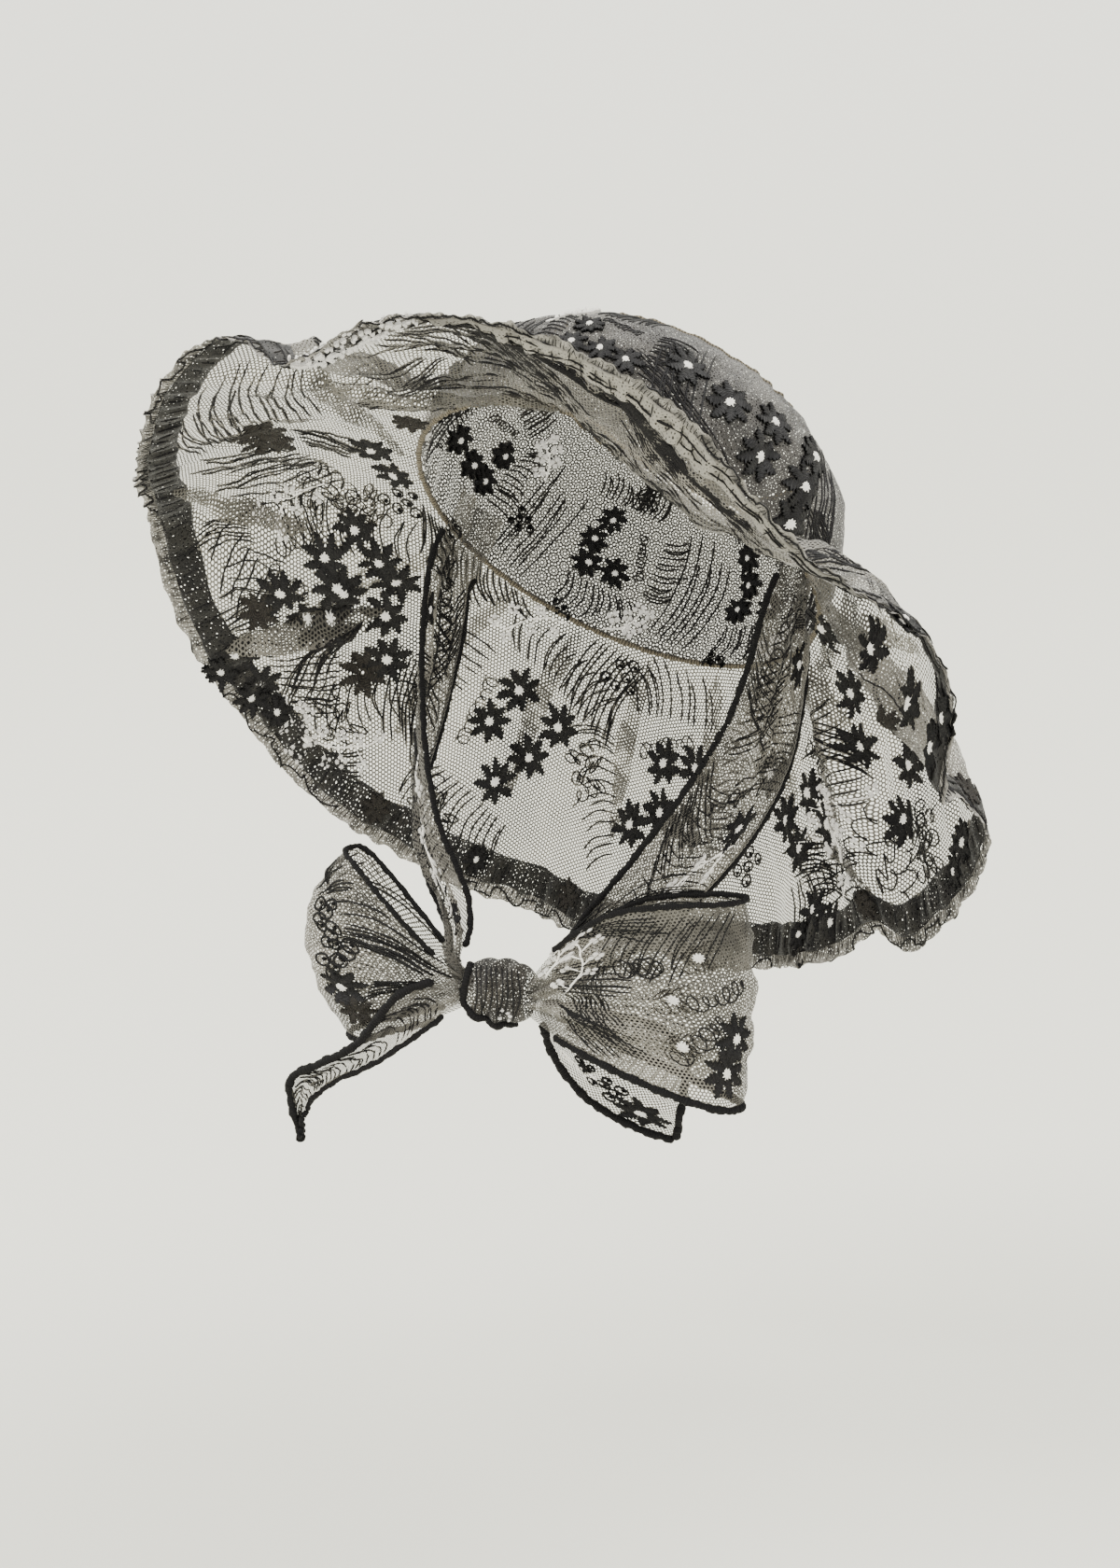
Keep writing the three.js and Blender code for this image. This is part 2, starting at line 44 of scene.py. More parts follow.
# Camera at the photograph's angle, in millimetres and degrees
view = {"turn": 30, "rise": 18, "lens": 70, "sensor": 36, "away": 1256.4, "aim": (-5.6, -38.8, -94.7),
        "farthest": 30}
photo = {"width": 1200, "height": 1680}
viewTurn = math.radians(view["turn"])
viewRise = math.radians(view["rise"])
viewBack = np.array([math.sin(viewTurn) * math.cos(viewRise), -math.cos(viewTurn) * math.cos(viewRise),
                     math.sin(viewRise)])
viewRight = np.array([math.cos(viewTurn), math.sin(viewTurn), 0.0])
viewUp = np.cross(viewBack, viewRight)
eye = np.array(view["aim"]) + viewBack * view["away"]
bpy.ops.object.camera_add(location=tuple(eye * mm), rotation=(math.pi / 2 - viewRise, 0, viewTurn))
cameraObject = bpy.context.object
cameraObject.data.lens = view["lens"]
cameraObject.data.sensor_width = view["sensor"]
cameraObject.data.clip_end = view["farthest"]
bpy.context.scene.camera = cameraObject


def pixelsOf(points):
    # Places in the photograph's frame, with the distance from the camera
    away = np.asarray(points) - eye
    depth = -(away @ viewBack)
    scale = view["lens"] / view["sensor"] * photo["height"] / depth
    return photo["width"] / 2 + (away @ viewRight) * scale, photo["height"] / 2 - (away @ viewUp) * scale, depth


# Colours and nodes
def linear(hexColour):
    parts = [int(hexColour[k:k + 2], 16) / 255 for k in (1, 3, 5)]
    return tuple(c / 12.92 if c <= 0.04045 else ((c + 0.055) / 1.055) ** 2.4 for c in parts) + (1.0,)


def addNode(tree, kind, settings=None, **inputs):
    # An input is named as its socket, with _ for each space, or numbered: i0 is the first
    node = tree.nodes.new("ShaderNode" + kind)
    for key, value in (settings or {}).items():
        setattr(node, key, value)
    for key, value in inputs.items():
        place = int(key[1:]) if key[0] == "i" and key[1:].isdigit() else key.replace("_", " ")
        if isinstance(value, bpy.types.NodeSocket):
            tree.links.new(value, node.inputs[place])
        else:
            node.inputs[place].default_value = value
    return node


def newMaterial(name):
    material = bpy.data.materials.new(name)
    material.use_nodes = True
    material.node_tree.nodes.clear()
    return material, material.node_tree


def finishMaterial(tree, **inputs):
    shader = addNode(tree, "BsdfPrincipled", None, **inputs)
    addNode(tree, "OutputMaterial", None, Surface=shader.outputs[0])


def netThreads(tree, cutPlace, pitch, thread, angle, soft=0.05):
    # 1 on the threads of a six-sided net, 0 in its holes; pitch is in metres, thread a share of it
    tall = math.sqrt(3)
    laid = addNode(tree, "Mapping", None, Vector=cutPlace, Rotation=(0, 0, math.radians(angle)),
                   Scale=(1 / pitch, 1 / pitch, 1))
    moved = addNode(tree, "VectorMath", {"operation": "ADD"}, i0=laid.outputs[0], i1=(400, 400 * tall, 0))
    cells = []
    for shift in (0, 0.5):
        shifted = addNode(tree, "VectorMath", {"operation": "ADD"}, i0=moved.outputs[0],
                          i1=(shift, shift * tall, 0))
        cell = addNode(tree, "VectorMath", {"operation": "MODULO"}, i0=shifted.outputs[0], i1=(1, tall, 1))
        middle = addNode(tree, "VectorMath", {"operation": "SUBTRACT"}, i0=cell.outputs[0], i1=(0.5, tall / 2, 0))
        cells.append(addNode(tree, "VectorMath", {"operation": "ABSOLUTE"}, i0=middle.outputs[0]))
    borders = []
    for cell in cells:
        slant = addNode(tree, "VectorMath", {"operation": "DOT_PRODUCT"}, i0=cell.outputs[0], i1=(0.5, tall / 2, 0))
        across = addNode(tree, "SeparateXYZ", None, i0=cell.outputs[0])
        borders.append(addNode(tree, "Math", {"operation": "MAXIMUM"}, i0=across.outputs[0],
                               i1=slant.outputs["Value"]))
    border = addNode(tree, "Math", {"operation": "MINIMUM"}, i0=borders[0].outputs[0], i1=borders[1].outputs[0])
    edge = 0.5 - thread / 2
    return addNode(tree, "MapRange", {"interpolation_type": "SMOOTHSTEP"}, Value=border.outputs[0],
                   From_Min=edge - soft, From_Max=edge + soft, To_Min=0.0, To_Max=1.0).outputs[0]


def netFabric(name, dark, pale, pitch, thread, angles, cloud, solid=0.0, paleSpot=None):
    # Polyester tulle, knitted: fine matt threads with open six-sided holes, so light comes through it.
    # One angle for each layer of net; solid is a share that is never open.
    # The last argument is a place in metres round which the net is paler, the colour there, and two distances from it
    # over which that colour fades out
    material, tree = newMaterial(name)
    cut = addNode(tree, "UVMap", {"uv_map": "cut"}).outputs[0]
    cover = None
    for angle in angles:
        threads = netThreads(tree, cut, pitch, thread, angle)
        if cover is None:
            cover = threads
        else:
            cover = addNode(tree, "Math", {"operation": "MAXIMUM"}, i0=cover, i1=threads).outputs[0]
    if solid:
        cover = addNode(tree, "Math", {"operation": "MAXIMUM"}, i0=cover, i1=solid).outputs[0]
    clouds = addNode(tree, "TexNoise", None, Vector=cut, Scale=cloud, Detail=4.0, Roughness=0.6)
    spread = addNode(tree, "MapRange", None, Value=clouds.outputs[0], From_Min=0.35, From_Max=0.65)
    tint = addNode(tree, "MixRGB", None, i0=spread.outputs[0], i1=linear(dark), i2=linear(pale))
    if paleSpot:
        middle, spotColour, near, far = paleSpot
        place = addNode(tree, "TexCoord").outputs["Object"]
        away = addNode(tree, "VectorMath", {"operation": "DISTANCE"}, i0=place, i1=middle)
        share = addNode(tree, "MapRange", None, Value=away.outputs["Value"],
                        From_Min=near, From_Max=far, To_Min=0.85, To_Max=0.0)
        tint = addNode(tree, "MixRGB", None, i0=share.outputs[0], i1=tint.outputs[0], i2=linear(spotColour))
    bump = addNode(tree, "Bump", None, Strength=0.4, Distance=0.0004, Height=cover)
    finishMaterial(tree, Base_Color=tint.outputs[0], Roughness=0.78, Alpha=cover, Normal=bump.outputs[0],
                   Sheen_Weight=0.15, Specular_IOR_Level=0.3)
    return material


# The real net has about 1.25 mm between holes, drawn at 1.7 mm so that it shows in the render.
# Tulle knitted in one layer: sheer and clouded grey, so the layers behind show through it
tulleSingle = netFabric("embroidered_tulle_single", "#292722", "#7c786e", 0.0017, 0.39, (8,), 18)
# Tulle sewn double: darker, with small cells where the two nets cross
tulleDoubled = netFabric("embroidered_tulle_doubled", "#1d1b18", "#484540", 0.0017, 0.32, (4, 37), 24)
# Tulle folded to a band: nearly black with pinholes of light, and paler round one place in front
tulleHem = netFabric("folded_tulle_hem", "#0a0908", "#25231e", 0.0016, 0.42, (12, 49), 130,
                     paleSpot=((0.1, -0.15, 0.095), "#9a968b", 0.05, 0.12))
# Tulle gathered at a raw edge: pale and fuzzy, with hardly a hole left open
tulleLip = netFabric("gathered_tulle_lip", "#262420", "#97938a", 0.0014, 0.46, (20, 51), 170, solid=0.1)
# Tulle pulled tight in a knot: dense and dark, with a few pinholes
tulleKnot = netFabric("gathered_tulle_knot", "#141210", "#3c3831", 0.0017, 0.34, (0, 33), 50)


def threadFinish(name, dark, pale, spacing, gloss, sheen, paintedGlow=0.0):
    # Rayon thread, machine stitched: threads lying side by side, with fine ribs across the light; each rib is paler
    # on top and darker in its groove, a painted highlight and painted shade that follow the ribs' bumps
    material, tree = newMaterial(name)
    stitch = addNode(tree, "UVMap", {"uv_map": "stitch"}).outputs[0]
    rows = addNode(tree, "TexWave", {"wave_type": "BANDS", "bands_direction": "X"}, Vector=stitch,
                   Scale=0.314 / spacing, Distortion=1.2, Detail=2.0, Detail_Scale=2.0)
    # The ribs' colour runs from dark in the grooves to pale on top: painted shade and painted highlight
    tint = addNode(tree, "MixRGB", None, i0=rows.outputs["Fac"], i1=linear(dark), i2=linear(pale))
    bump = addNode(tree, "Bump", None, Strength=0.6, Distance=0.0003, Height=rows.outputs["Fac"])
    # The last argument makes the thread emit its pale colour: a painted glint, a glow of its own though it is no lamp
    finishMaterial(tree, Base_Color=tint.outputs[0], Roughness=gloss, Normal=bump.outputs[0],
                   Sheen_Weight=sheen, Specular_IOR_Level=0.25,
                   Emission_Color=linear(pale), Emission_Strength=paintedGlow)
    return material


# Stitches are about 0.4 mm apart, drawn at 0.9 mm.
# Black rayon in satin stitch: the deepest black of the hat, barely ribbed
blackThread = threadFinish("black_satin_stitch", "#040404", "#121010", 0.0009, 0.6, 0.0)
# Smoke grey rayon in satin stitch: soft dark shapes, as shadows of the black ones
greyThread = threadFinish("smoke_grey_stitch", "#14120f", "#2f2b25", 0.0009, 0.7, 0.0)
# Cream yarn wound with metal foil: bright beads and twigs with a painted glint, a glow of their own from the emission
creamThread = threadFinish("cream_metallic_stitch_painted_glow", "#cfcabb", "#f7f4ea", 0.0009, 0.35, 0.2, 0.5)
print("materials ready")

# Shapes that the source gives, in millimetres and degrees
hat = {
    "halfWidth": 84, "halfDepth": 102, "tilt": 43, "height": 85, "bulge": 6, "lean": 8, "fullness": 2.2,
    "tipAngle": 52, "tipStep": 0.5, "gather": 1.3, "gathers": 14,
    "brim": 112, "hem": 14, "cutRadius": 93,
}
wholeBrim = hat["brim"] + hat["hem"]

# at, dip, reach, rise, belly of each fold of the brim, from the centre front round by +X
brimFolds = np.array([
    (0, 0, .9, -.34, .04), (10, 0, .92, -.28, .02), (20, -.02, .93, -.26, -.04), (30, -.06, .93, -.25, -.09),
    (38, -.08, .92, -.28, -.11), (46, -.08, .89, -.37, -.09), (54, -.07, .86, -.44, -.06),
    (62, -.04, .84, -.46, -.01),
    (70, -.02, .83, -.45, .05), (78, 0, .79, -.5, .07), (85, 0, .73, -.62, .08), (89, 0, .7, -.7, .04),
    (94, 0, .67, -.62, -.05), (100, 0, .71, -.59, .06), (106, 0, .74, -.58, .1), (114, 0, .74, -.66, .1),
    (122, 0, .7, -.74, .08), (129, 0, .66, -.8, .05), (134, 0, .57, -.75, -.05), (142, 0, .57, -.8, .06),
    (151, 0, .53, -.85, .1), (162, 0, .6, -.82, .05), (173, 0, .52, -.87, .1), (185, 0, .6, -.82, .05),
    (197, 0, .55, -.86, .1), (209, 0, .65, -.79, .05), (220, 0, .61, -.83, .1), (231, 0, .69, -.79, .06),
    (238, 0, .7, -.79, .08), (246, 0, .79, -.71, .07), (254, 0, .83, -.62, .05), (263, 0, .87, -.54, .02),
    (269, 0, .9, -.45, .04), (276, 0, .92, -.32, .08), (285, 0, .86, -.31, .1), (300, 0, .78, -.41, .1),
    (315, 0, .79, -.48, .08), (329, 0, .88, -.46, .05), (337, 0, .9, -.37, .06), (344, 0, .88, -.38, .04),
    (349, 0, .87, -.45, .01), (355, 0, .88, -.43, .04),
])


def throughRows(rows, places, at, index, last=None):
    # Smooth curve through a table's rows, by the slopes of each row's neighbours
    pick = [index - 1, index, index + 1, index + 2]
    if last is None:
        count = len(rows)
        spots = [places[k % count] + 360 * np.floor_divide(k, count) for k in pick]
        values = [rows[k % count] for k in pick]
    else:
        spots = [k.astype(float) for k in pick]
        values = [rows[np.clip(k, 0, last)] for k in pick]
    span = spots[2] - spots[1]
    t = ((at - spots[1]) / span)[:, None]
    leave = (values[2] - values[0]) / ((spots[2] - spots[0]) / span)[:, None]
    arrive = (values[3] - values[1]) / ((spots[3] - spots[1]) / span)[:, None]
    start = (2 * t ** 3 - 3 * t ** 2 + 1) * values[1] + (t ** 3 - 2 * t ** 2 + t) * leave
    return start + (3 * t ** 2 - 2 * t ** 3) * values[2] + (t ** 3 - t ** 2) * arrive


def roundTable(table, degrees):
    # Row of a table that goes once round, at an angle
    at = np.mod(degrees, 360)
    index = np.searchsorted(table[:, 0], at, side="right") - 1
    return throughRows(table[:, 1:], table[:, 0], at, index)


def openTable(table, share):
    # Row of a table that runs from a start to an end, at a share of its length
    last = len(table) - 1
    place = np.clip(share, 0, 1) * last
    index = np.minimum(np.floor(place), last - 1).astype(int)
    return throughRows(table, None, place, index, last)


tilt = math.radians(hat["tilt"])
hatBack = np.array([0, math.cos(tilt), -math.sin(tilt)])
hatUp = np.array([0, math.sin(tilt), math.cos(tilt)])


def fromHat(across, back, up):
    # Point in the row frame from measures on the tilted hat
    return across[:, None] * np.array([1.0, 0, 0]) + back[:, None] * hatBack + up[:, None] * hatUp


def openingAt(turn):
    # Radius of the head opening at a turn, and its direction across and back
    across = hat["halfWidth"] * np.sin(turn)
    back = -hat["halfDepth"] * np.cos(turn)
    radius = np.hypot(across, back)
    return radius, across / radius, back / radius


def brimPoint(turn, distance, lift=0.0):
    # lift moves a point out of the brim's own surface, in millimetres
    dip, reach, rise, belly = roundTable(brimFolds, np.degrees(turn)).T
    share = distance / wholeBrim
    radius, across, back = openingAt(turn)
    length = np.hypot(reach, rise)
    bow = belly * np.sin(np.pi * share) + lift / wholeBrim
    out = (reach * share - rise / length * bow) * wholeBrim + radius + 0.3
    up = (dip + rise * share + reach / length * bow) * wholeBrim
    return fromHat(across * out, back * out, up)


def crownPoint(turn, angle, gather):
    # angle climbs from the opening to the top of the dome
    radius, across, back = openingAt(turn)
    height = np.sin(angle) ** (2 / hat["fullness"])
    narrow = np.maximum(np.cos(angle), 0) ** (2 / hat["fullness"])
    pleat = gather * hat["gather"] * np.cos(hat["gathers"] * turn) * narrow
    bulge = (hat["bulge"] * np.sin(np.pi * height) + pleat) * np.minimum(narrow * 2, 1)
    out = (radius - 0.5) * narrow + bulge
    dip = roundTable(brimFolds, np.degrees(turn))[:, 0] * wholeBrim
    up = hat["height"] * height + dip * (1 - height) ** 2
    return fromHat(across * out, back * out + hat["lean"] * height ** 2, up)


knot = {"centre": (0, -97, -165), "turn": 12, "half": 13, "gap": 0.8}
knotTurn = math.radians(knot["turn"])
knotCentre = np.array(knot["centre"], float)
bowAlong = np.array([math.cos(knotTurn), math.sin(knotTurn), 0])
bowFront = np.array([math.sin(knotTurn), -math.cos(knotTurn), 0])
upward = np.array([0, 0, 1.0])


def bowPoint(along, front, lift):
    # Point in the row frame from measures on the turned bow
    return knotCentre + along[:, None] * bowAlong + front[:, None] * bowFront + lift[:, None] * upward


ties = {"sideReach": 84, "frontReach": 97, "drop": 165, "width": 90, "pleat": 2.2, "pleats": 2, "tuck": 16,
        "hug": 3.6,
        "angle": 97, "inset": 3.2, "tuckShare": .36, "endShare": .11, "turnShare": .04, "setback": 6.6,
        "endOut": 22, "endBack": 8, "endLift": 4}
# out, fore, drop, wide of each tie, from the brim down
tieBends = [(.985, .05, .13, .43), (.98, .13, .28, .49), (.95, .26, .44, .5), (.86, .46, .58, .44),
            (.68, .67, .73, .35), (.43, .8, .87, .24)]


def smooth(value, low, high):
    # 0 below low and 1 above high, with a soft start and end
    t = np.clip((value - low) / (high - low), 0, 1)
    return t * t * (3 - 2 * t)


def unit(vectors):
    # Each vector at length 1
    return vectors / np.maximum(np.linalg.norm(vectors, axis=-1, keepdims=True), 1e-9)


def tieSurface(side):
    angle = np.array([math.radians(ties["angle"])])
    radius, across, back = openingAt(angle)
    rows = []
    inside = radius - ties["inset"]
    for lift in (ties["tuck"], 0):
        point = fromHat(across * inside, back * inside, np.array([float(lift)]))[0]
        rows.append((side * point[0], point[1], point[2], ties["tuckShare"]))
    for out, fore, drop, wide in tieBends:
        rows.append((side * out * ties["sideReach"], -fore * ties["frontReach"], -drop * ties["drop"], wide))
    for out, rear, lift in ((ties["endOut"], ties["endBack"], ties["endLift"]),
                            (knot["half"] + knot["gap"], ties["setback"], 0)):
        point = bowPoint(np.array([side * float(out)]), np.array([-float(rear)]), np.array([float(lift)]))[0]
        rows.append((*point, ties["endShare"]))
    rows = np.array(rows)

    def surface(u, v):
        place = np.clip(v, ties["turnShare"], 1 - ties["turnShare"])
        row = openTable(rows, v)
        after = openTable(rows, place + ties["turnShare"])[:, :3]
        before = openTable(rows, place - ties["turnShare"])[:, :3]
        heading = unit(after - before)
        level = unit(row[:, :3] * (1, 1, 0))
        spread = unit(np.cross(heading, level))
        upright = smooth(v, 0.8, 0.95)[:, None]
        spread = unit(spread * (1 - upright) + upward * side * upright)
        outward = unit(np.cross(spread, heading))
        flat = 1 - upright[:, 0]
        pleat = ties["pleat"] / 2 * np.sin(2 * np.pi * ties["pleats"] * u) * flat
        hug = ties["hug"] * (2 * u - 1) ** 2 * flat
        reach = (u - 0.5) * row[:, 3] * ties["width"]
        return row[:, :3] + spread * reach[:, None] + outward * (pleat - hug)[:, None]

    return surface


bow = {"length": 95, "depth": 20, "width": 90, "tail": 100}
# out, front, lift, spread, bulge of each bow loop, from the knot round and back
leftLoopStages = np.array([
    (.14, 0, 0, .14, 0), (.32, -.02, .07, .4, 0), (.6, -.08, .13, .7, 0), (.9, -.1, .11, .88, .01),
    (1.05, .04, .1, .94, .03), (1.08, .32, .1, .95, .04), (1, .6, .1, .94, .03), (.8, .78, .12, .86, .01),
    (.54, .78, .13, .7, 0), (.3, .62, .08, .42, 0), (.14, .28, 0, .14, 0)])
rightLoopStages = np.array([
    (.14, 0, 0, .14, 0), (.28, -.02, .06, .34, 0), (.46, -.08, .13, .62, .02), (.6, -.04, .18, .82, .1),
    (.66, .14, .18, .86, .18), (.66, .4, .17, .86, .18), (.58, .66, .15, .8, .1), (.44, .74, .11, .58, .02),
    (.28, .6, .04, .34, 0), (.14, .28, 0, .14, 0)])
# out, front, drop, wide, turn of each tail, from the knot down
leftTailBends = np.array([(.14, -.4, .1, .05, 0), (.22, -.68, .19, .24, 24), (.37, -.95, .31, .43, 22),
                          (.55, -1, .38, .5, 16), (.71, -.95, .45, .42, 8)])
rightTailBends = np.array([(.14, .48, -.02, .1, 4), (.3, 1.05, .05, .18, 30), (.49, 1.2, .24, .1, 42),
                           (.66, 1.15, .35, .09, 38), (.79, 1.05, .46, .13, 62), (.8, 1, .66, .1, 92)])


def loopSurface(side, stages):
    def surface(u, v):
        out, front, lift, spread, bulge = openTable(stages, v).T
        push = bulge * bow["length"] * (1 - 4 * (u - 0.5) ** 2)
        along = np.maximum(out, (knot["half"] + knot["gap"]) / bow["length"]) * bow["length"] + push
        return bowPoint(side * along, front * bow["depth"], (lift + (u - 0.5) * spread) * bow["width"])
    return surface


def tailSurface(side, bends):
    def surface(u, v):
        out, front, drop, wide, turn = openTable(bends, v).T
        lean = np.radians(turn)
        reach = (u - 0.5) * wide * bow["width"]
        along = np.maximum(out, (knot["half"] + knot["gap"]) / bow["tail"]) * bow["tail"] + reach * np.sin(lean)
        return bowPoint(side * along, front * bow["depth"], reach * np.cos(lean) - drop * bow["tail"])
    return surface


# Each cloth is a surface over its own flat cut: a place in millimetres on the cut gives a point in space
def ripple(a, b, strength):
    # Small soft unevenness of light cloth, the same on every run
    waves = ((1, .031, .017, .4), (.8, -.023, .041, 1.7), (.6, .067, -.029, 3.1),
             (.4, .083, .094, .9), (.3, -.14, .11, 5.2))
    return strength * sum(size * np.sin(2 * np.pi * (a * x + b * y) + shift) for size, x, y, shift in waves)


class Finder:
    # Places are read off the photograph and found again on the cloth, nearest the camera first
    def __init__(self, cloth, places):
        self.places = np.asarray(places, float).reshape(-1, 2)
        x, y, depth = pixelsOf(cloth(*self.places.T))
        self.seen = np.stack([x, y], -1)
        self.depth = depth

    def at(self, px, py, far=False, within=7):
        # far takes the farthest layer of cloth there in place of the nearest
        gap = np.hypot(self.seen[:, 0] - px, self.seen[:, 1] - py)
        near = np.where(gap < max(within, gap.min() + .5))[0]
        order = self.depth[near] * (-1 if far else 1) + gap[near] * 1.5
        return self.places[near[np.argmin(order)]]


def ringPlaces(start, end, columns, rows):
    # Grid of places on a ring-shaped cut, from one radius to another
    turns = np.linspace(-np.pi, np.pi, columns)
    away = np.linspace(start, end, rows)
    radius, turn = np.meshgrid(away, turns, indexing="ij")
    return np.stack([radius * np.sin(turn), -radius * np.cos(turn)], -1)


def boxPlaces(low, high, columns, rows):
    # Grid of places on a straight cut, from one corner to the other
    x, y = np.meshgrid(np.linspace(low[0], high[0], columns), np.linspace(low[1], high[1], rows), indexing="xy")
    return np.stack([x, y], -1)


def throughMarks(marks, count):
    # Places shared out along a line of marks
    t, s = np.linspace(0, 1, len(marks)), np.linspace(0, 1, count)
    return np.stack([np.interp(s, t, marks[:, 0]), np.interp(s, t, marks[:, 1])], -1)


def plainBrim(x, y):
    return brimPoint(np.arctan2(x, -y), np.hypot(x, y) - hat["cutRadius"])


# Sharp tucks seen in the photograph: pixels along each, height and half width in millimetres
brimTucks = [
    ([(305, 382), (360, 430), (425, 482)], 4.5, 3.4), ([(168, 530), (240, 545), (330, 560)], 4.0, 3.0),
    ([(240, 690), (320, 672), (408, 645)], 5.0, 2.6), ([(245, 706), (330, 692), (408, 668)], -4.0, 2.6),
    ([(175, 545), (250, 590), (310, 620)], 2.4, 2.6), ([(172, 540), (240, 612), (270, 650)], 2.0, 2.4),
    ([(400, 352), (540, 368), (640, 420), (700, 500)], 2.8, 3.0),
    ([(470, 345), (600, 372), (700, 440), (790, 555)], -3.0, 3.2),
    ([(330, 410), (430, 432), (520, 430), (590, 455)], 3.2, 3.0),
    ([(560, 352), (680, 395), (780, 480), (840, 560)], 2.6, 2.6),
    ([(850, 640), (900, 690), (960, 720)], 2.6, 2.6), ([(815, 620), (870, 730), (930, 800)], -2.6, 2.6),
    ([(860, 900), (905, 940), (940, 978)], 3.0, 2.6), ([(860, 800), (900, 840), (960, 880)], 2.2, 2.6),
]
tuckFinder = Finder(plainBrim, ringPlaces(hat["cutRadius"] + 1, hat["cutRadius"] + 118, 900, 60))
# Tucks at the sides and back, in degrees and millimetres
backTucks = {"from": 110, "to": 262, "every": 13, "start": 100, "reach": 55, "uneven": 30, "lean": .12,
             "height": 2.4, "halfWidth": 3.2, "points": 24}
tuckLines = []
for marks, height, halfWidth in brimTucks:
    knots = np.array([tuckFinder.at(*mark) for mark in marks])
    tuckLines.append((throughMarks(knots, backTucks["points"]), height, halfWidth))
for degrees in range(backTucks["from"], backTucks["to"], backTucks["every"]):
    angle = math.radians(degrees + 4 * math.sin(degrees))
    reach = backTucks["reach"] + backTucks["uneven"] * math.sin(degrees * 1.7)
    line = []
    for s in np.linspace(0, 1, backTucks["points"]):
        away, lean = backTucks["start"] + reach * s, angle + backTucks["lean"] * s
        line.append((away * math.sin(lean), -away * math.cos(lean)))
    tuckLines.append((np.array(line), backTucks["height"] * math.sin(degrees * 2.3), backTucks["halfWidth"]))


def tucksAt(x, y):
    # Height of the nearest point on each tuck, fading at the tuck's ends
    total = np.zeros(len(x))
    for line, height, halfWidth in tuckLines:
        low, high = line.min(0) - 4 * halfWidth, line.max(0) + 4 * halfWidth
        inside = np.where((x > low[0]) & (x < high[0]) & (y > low[1]) & (y < high[1]))[0]
        if not len(inside):
            continue
        gap = (x[inside, None] - line[None, :, 0]) ** 2 + (y[inside, None] - line[None, :, 1]) ** 2
        near = gap.argmin(1)
        fade = np.sin(np.pi * (near + .5) / len(line)) ** 0.5
        total[inside] += height * fade * np.exp(-gap[np.arange(len(inside)), near] / halfWidth ** 2)
    return total


brimLook = {"hemPucker": 0.8, "rootPucker": 0.5, "swell": 1.6, "ripple": 0.8}


def brimCloth(x, y):
    x, y = np.asarray(x, float), np.asarray(y, float)
    distance = np.hypot(x, y) - hat["cutRadius"]
    turn = np.arctan2(x, -y)
    share = np.clip(distance / wholeBrim, 0, 1.06)
    edge = np.sin(np.pi * np.clip(share, 0, 1))
    pucker = brimLook["hemPucker"] * share ** 3 * np.sin(61 * turn + 1.5 * np.sin(7 * turn))
    pucker = pucker + brimLook["rootPucker"] * (1 - share) ** 3 * np.sin(88 * turn)
    swell = np.sin(19 * turn + 5 * share) + .7 * np.sin(31 * turn - 7 * share + 2)
    swell = brimLook["swell"] * edge * swell * share
    tucked = tucksAt(x, y) * np.minimum(edge * 2.5, 1)
    return brimPoint(turn, distance, ripple(x, y, brimLook["ripple"]) * edge + pucker + swell + tucked)


crownLook = {"sideHeight": 80.0, "tipRadius": 66.0, "gathers": 0.7, "ripple": 0.35,
             "tipRipple": 0.6, "tipGathers": 0.5}


def crownSideCloth(x, y):
    turn = x / hat["cutRadius"]
    share = np.clip(y / crownLook["sideHeight"], 0, 1)
    fold = np.sin(np.pi * share)
    point = crownPoint(turn, share * math.radians(hat["tipAngle"]), fold)
    radius, across, back = openingAt(turn)
    gathers = crownLook["gathers"] * np.sin(46 * turn + 2 * np.sin(5 * turn)) * (0.35 + 0.65 * (2 * share - 1) ** 2)
    flare = hat["tipStep"] * share ** 6 + gathers + ripple(x, y, crownLook["ripple"])
    return point + fromHat(across * flare, back * flare, 0 * flare)


def crownTipCloth(x, y):
    away = np.hypot(x, y)
    turn = np.arctan2(x, -y)
    rise = np.clip(1 - away / crownLook["tipRadius"], 0, 1)
    start = math.radians(hat["tipAngle"]) + 0.5 / hat["height"]
    point = crownPoint(turn, start + rise * (np.pi / 2 - start), 0)
    lift = ripple(x, y, crownLook["tipRipple"]) * np.sin(np.pi * np.minimum(rise * 1.5, 0.5))
    lift = lift + crownLook["tipGathers"] * (1 - rise) ** 4 * np.sin(40 * turn)
    return point + lift[:, None] * hatUp


stripLook = {"width": 90, "step": 0.004, "hold": 1.3, "holdReach": .16, "ripple": 0.45,
             "columnEvery": 1.8, "rows": 45}


def stripCloth(surface, length, folds, depth, taper=0.0, gathered=(1, 0)):
    # Strip cut: x runs along it from its start, y across it from its middle; fine folds run along it.
    # gathered deepens the folds at the strip's end and start, where the knot holds it
    def cloth(x, y):
        v = np.clip(x / length, 0, 1)
        u = y / stripLook["width"] * (1 - taper * smooth(v, .72, 1)) + 0.5
        step = stripLook["step"]
        alongU = surface(np.clip(u + step, 0, 1), v) - surface(np.clip(u - step, 0, 1), v)
        alongV = surface(u, np.clip(v + step, 0, 1)) - surface(u, np.clip(v - step, 0, 1))
        normal = unit(np.cross(alongU, alongV))
        wave = np.sin(2 * np.pi * folds * (u + 0.03 * np.sin(9 * v + 1)))
        wave = wave + 0.5 * np.sin(2 * np.pi * folds * 2.3 * u + 4 * v + 2)
        edge = np.sin(np.pi * np.clip(u, 0, 1)) ** 0.5
        hold, reach = stripLook["hold"], stripLook["holdReach"]
        held = 1 + hold * gathered[0] * np.exp(-((1 - v) / reach) ** 2)
        held = held + hold * gathered[1] * np.exp(-(v / reach) ** 2)
        lift = depth * held * wave * edge + ripple(x, y, stripLook["ripple"]) * edge
        return surface(u, v) + normal * lift[:, None]
    return cloth


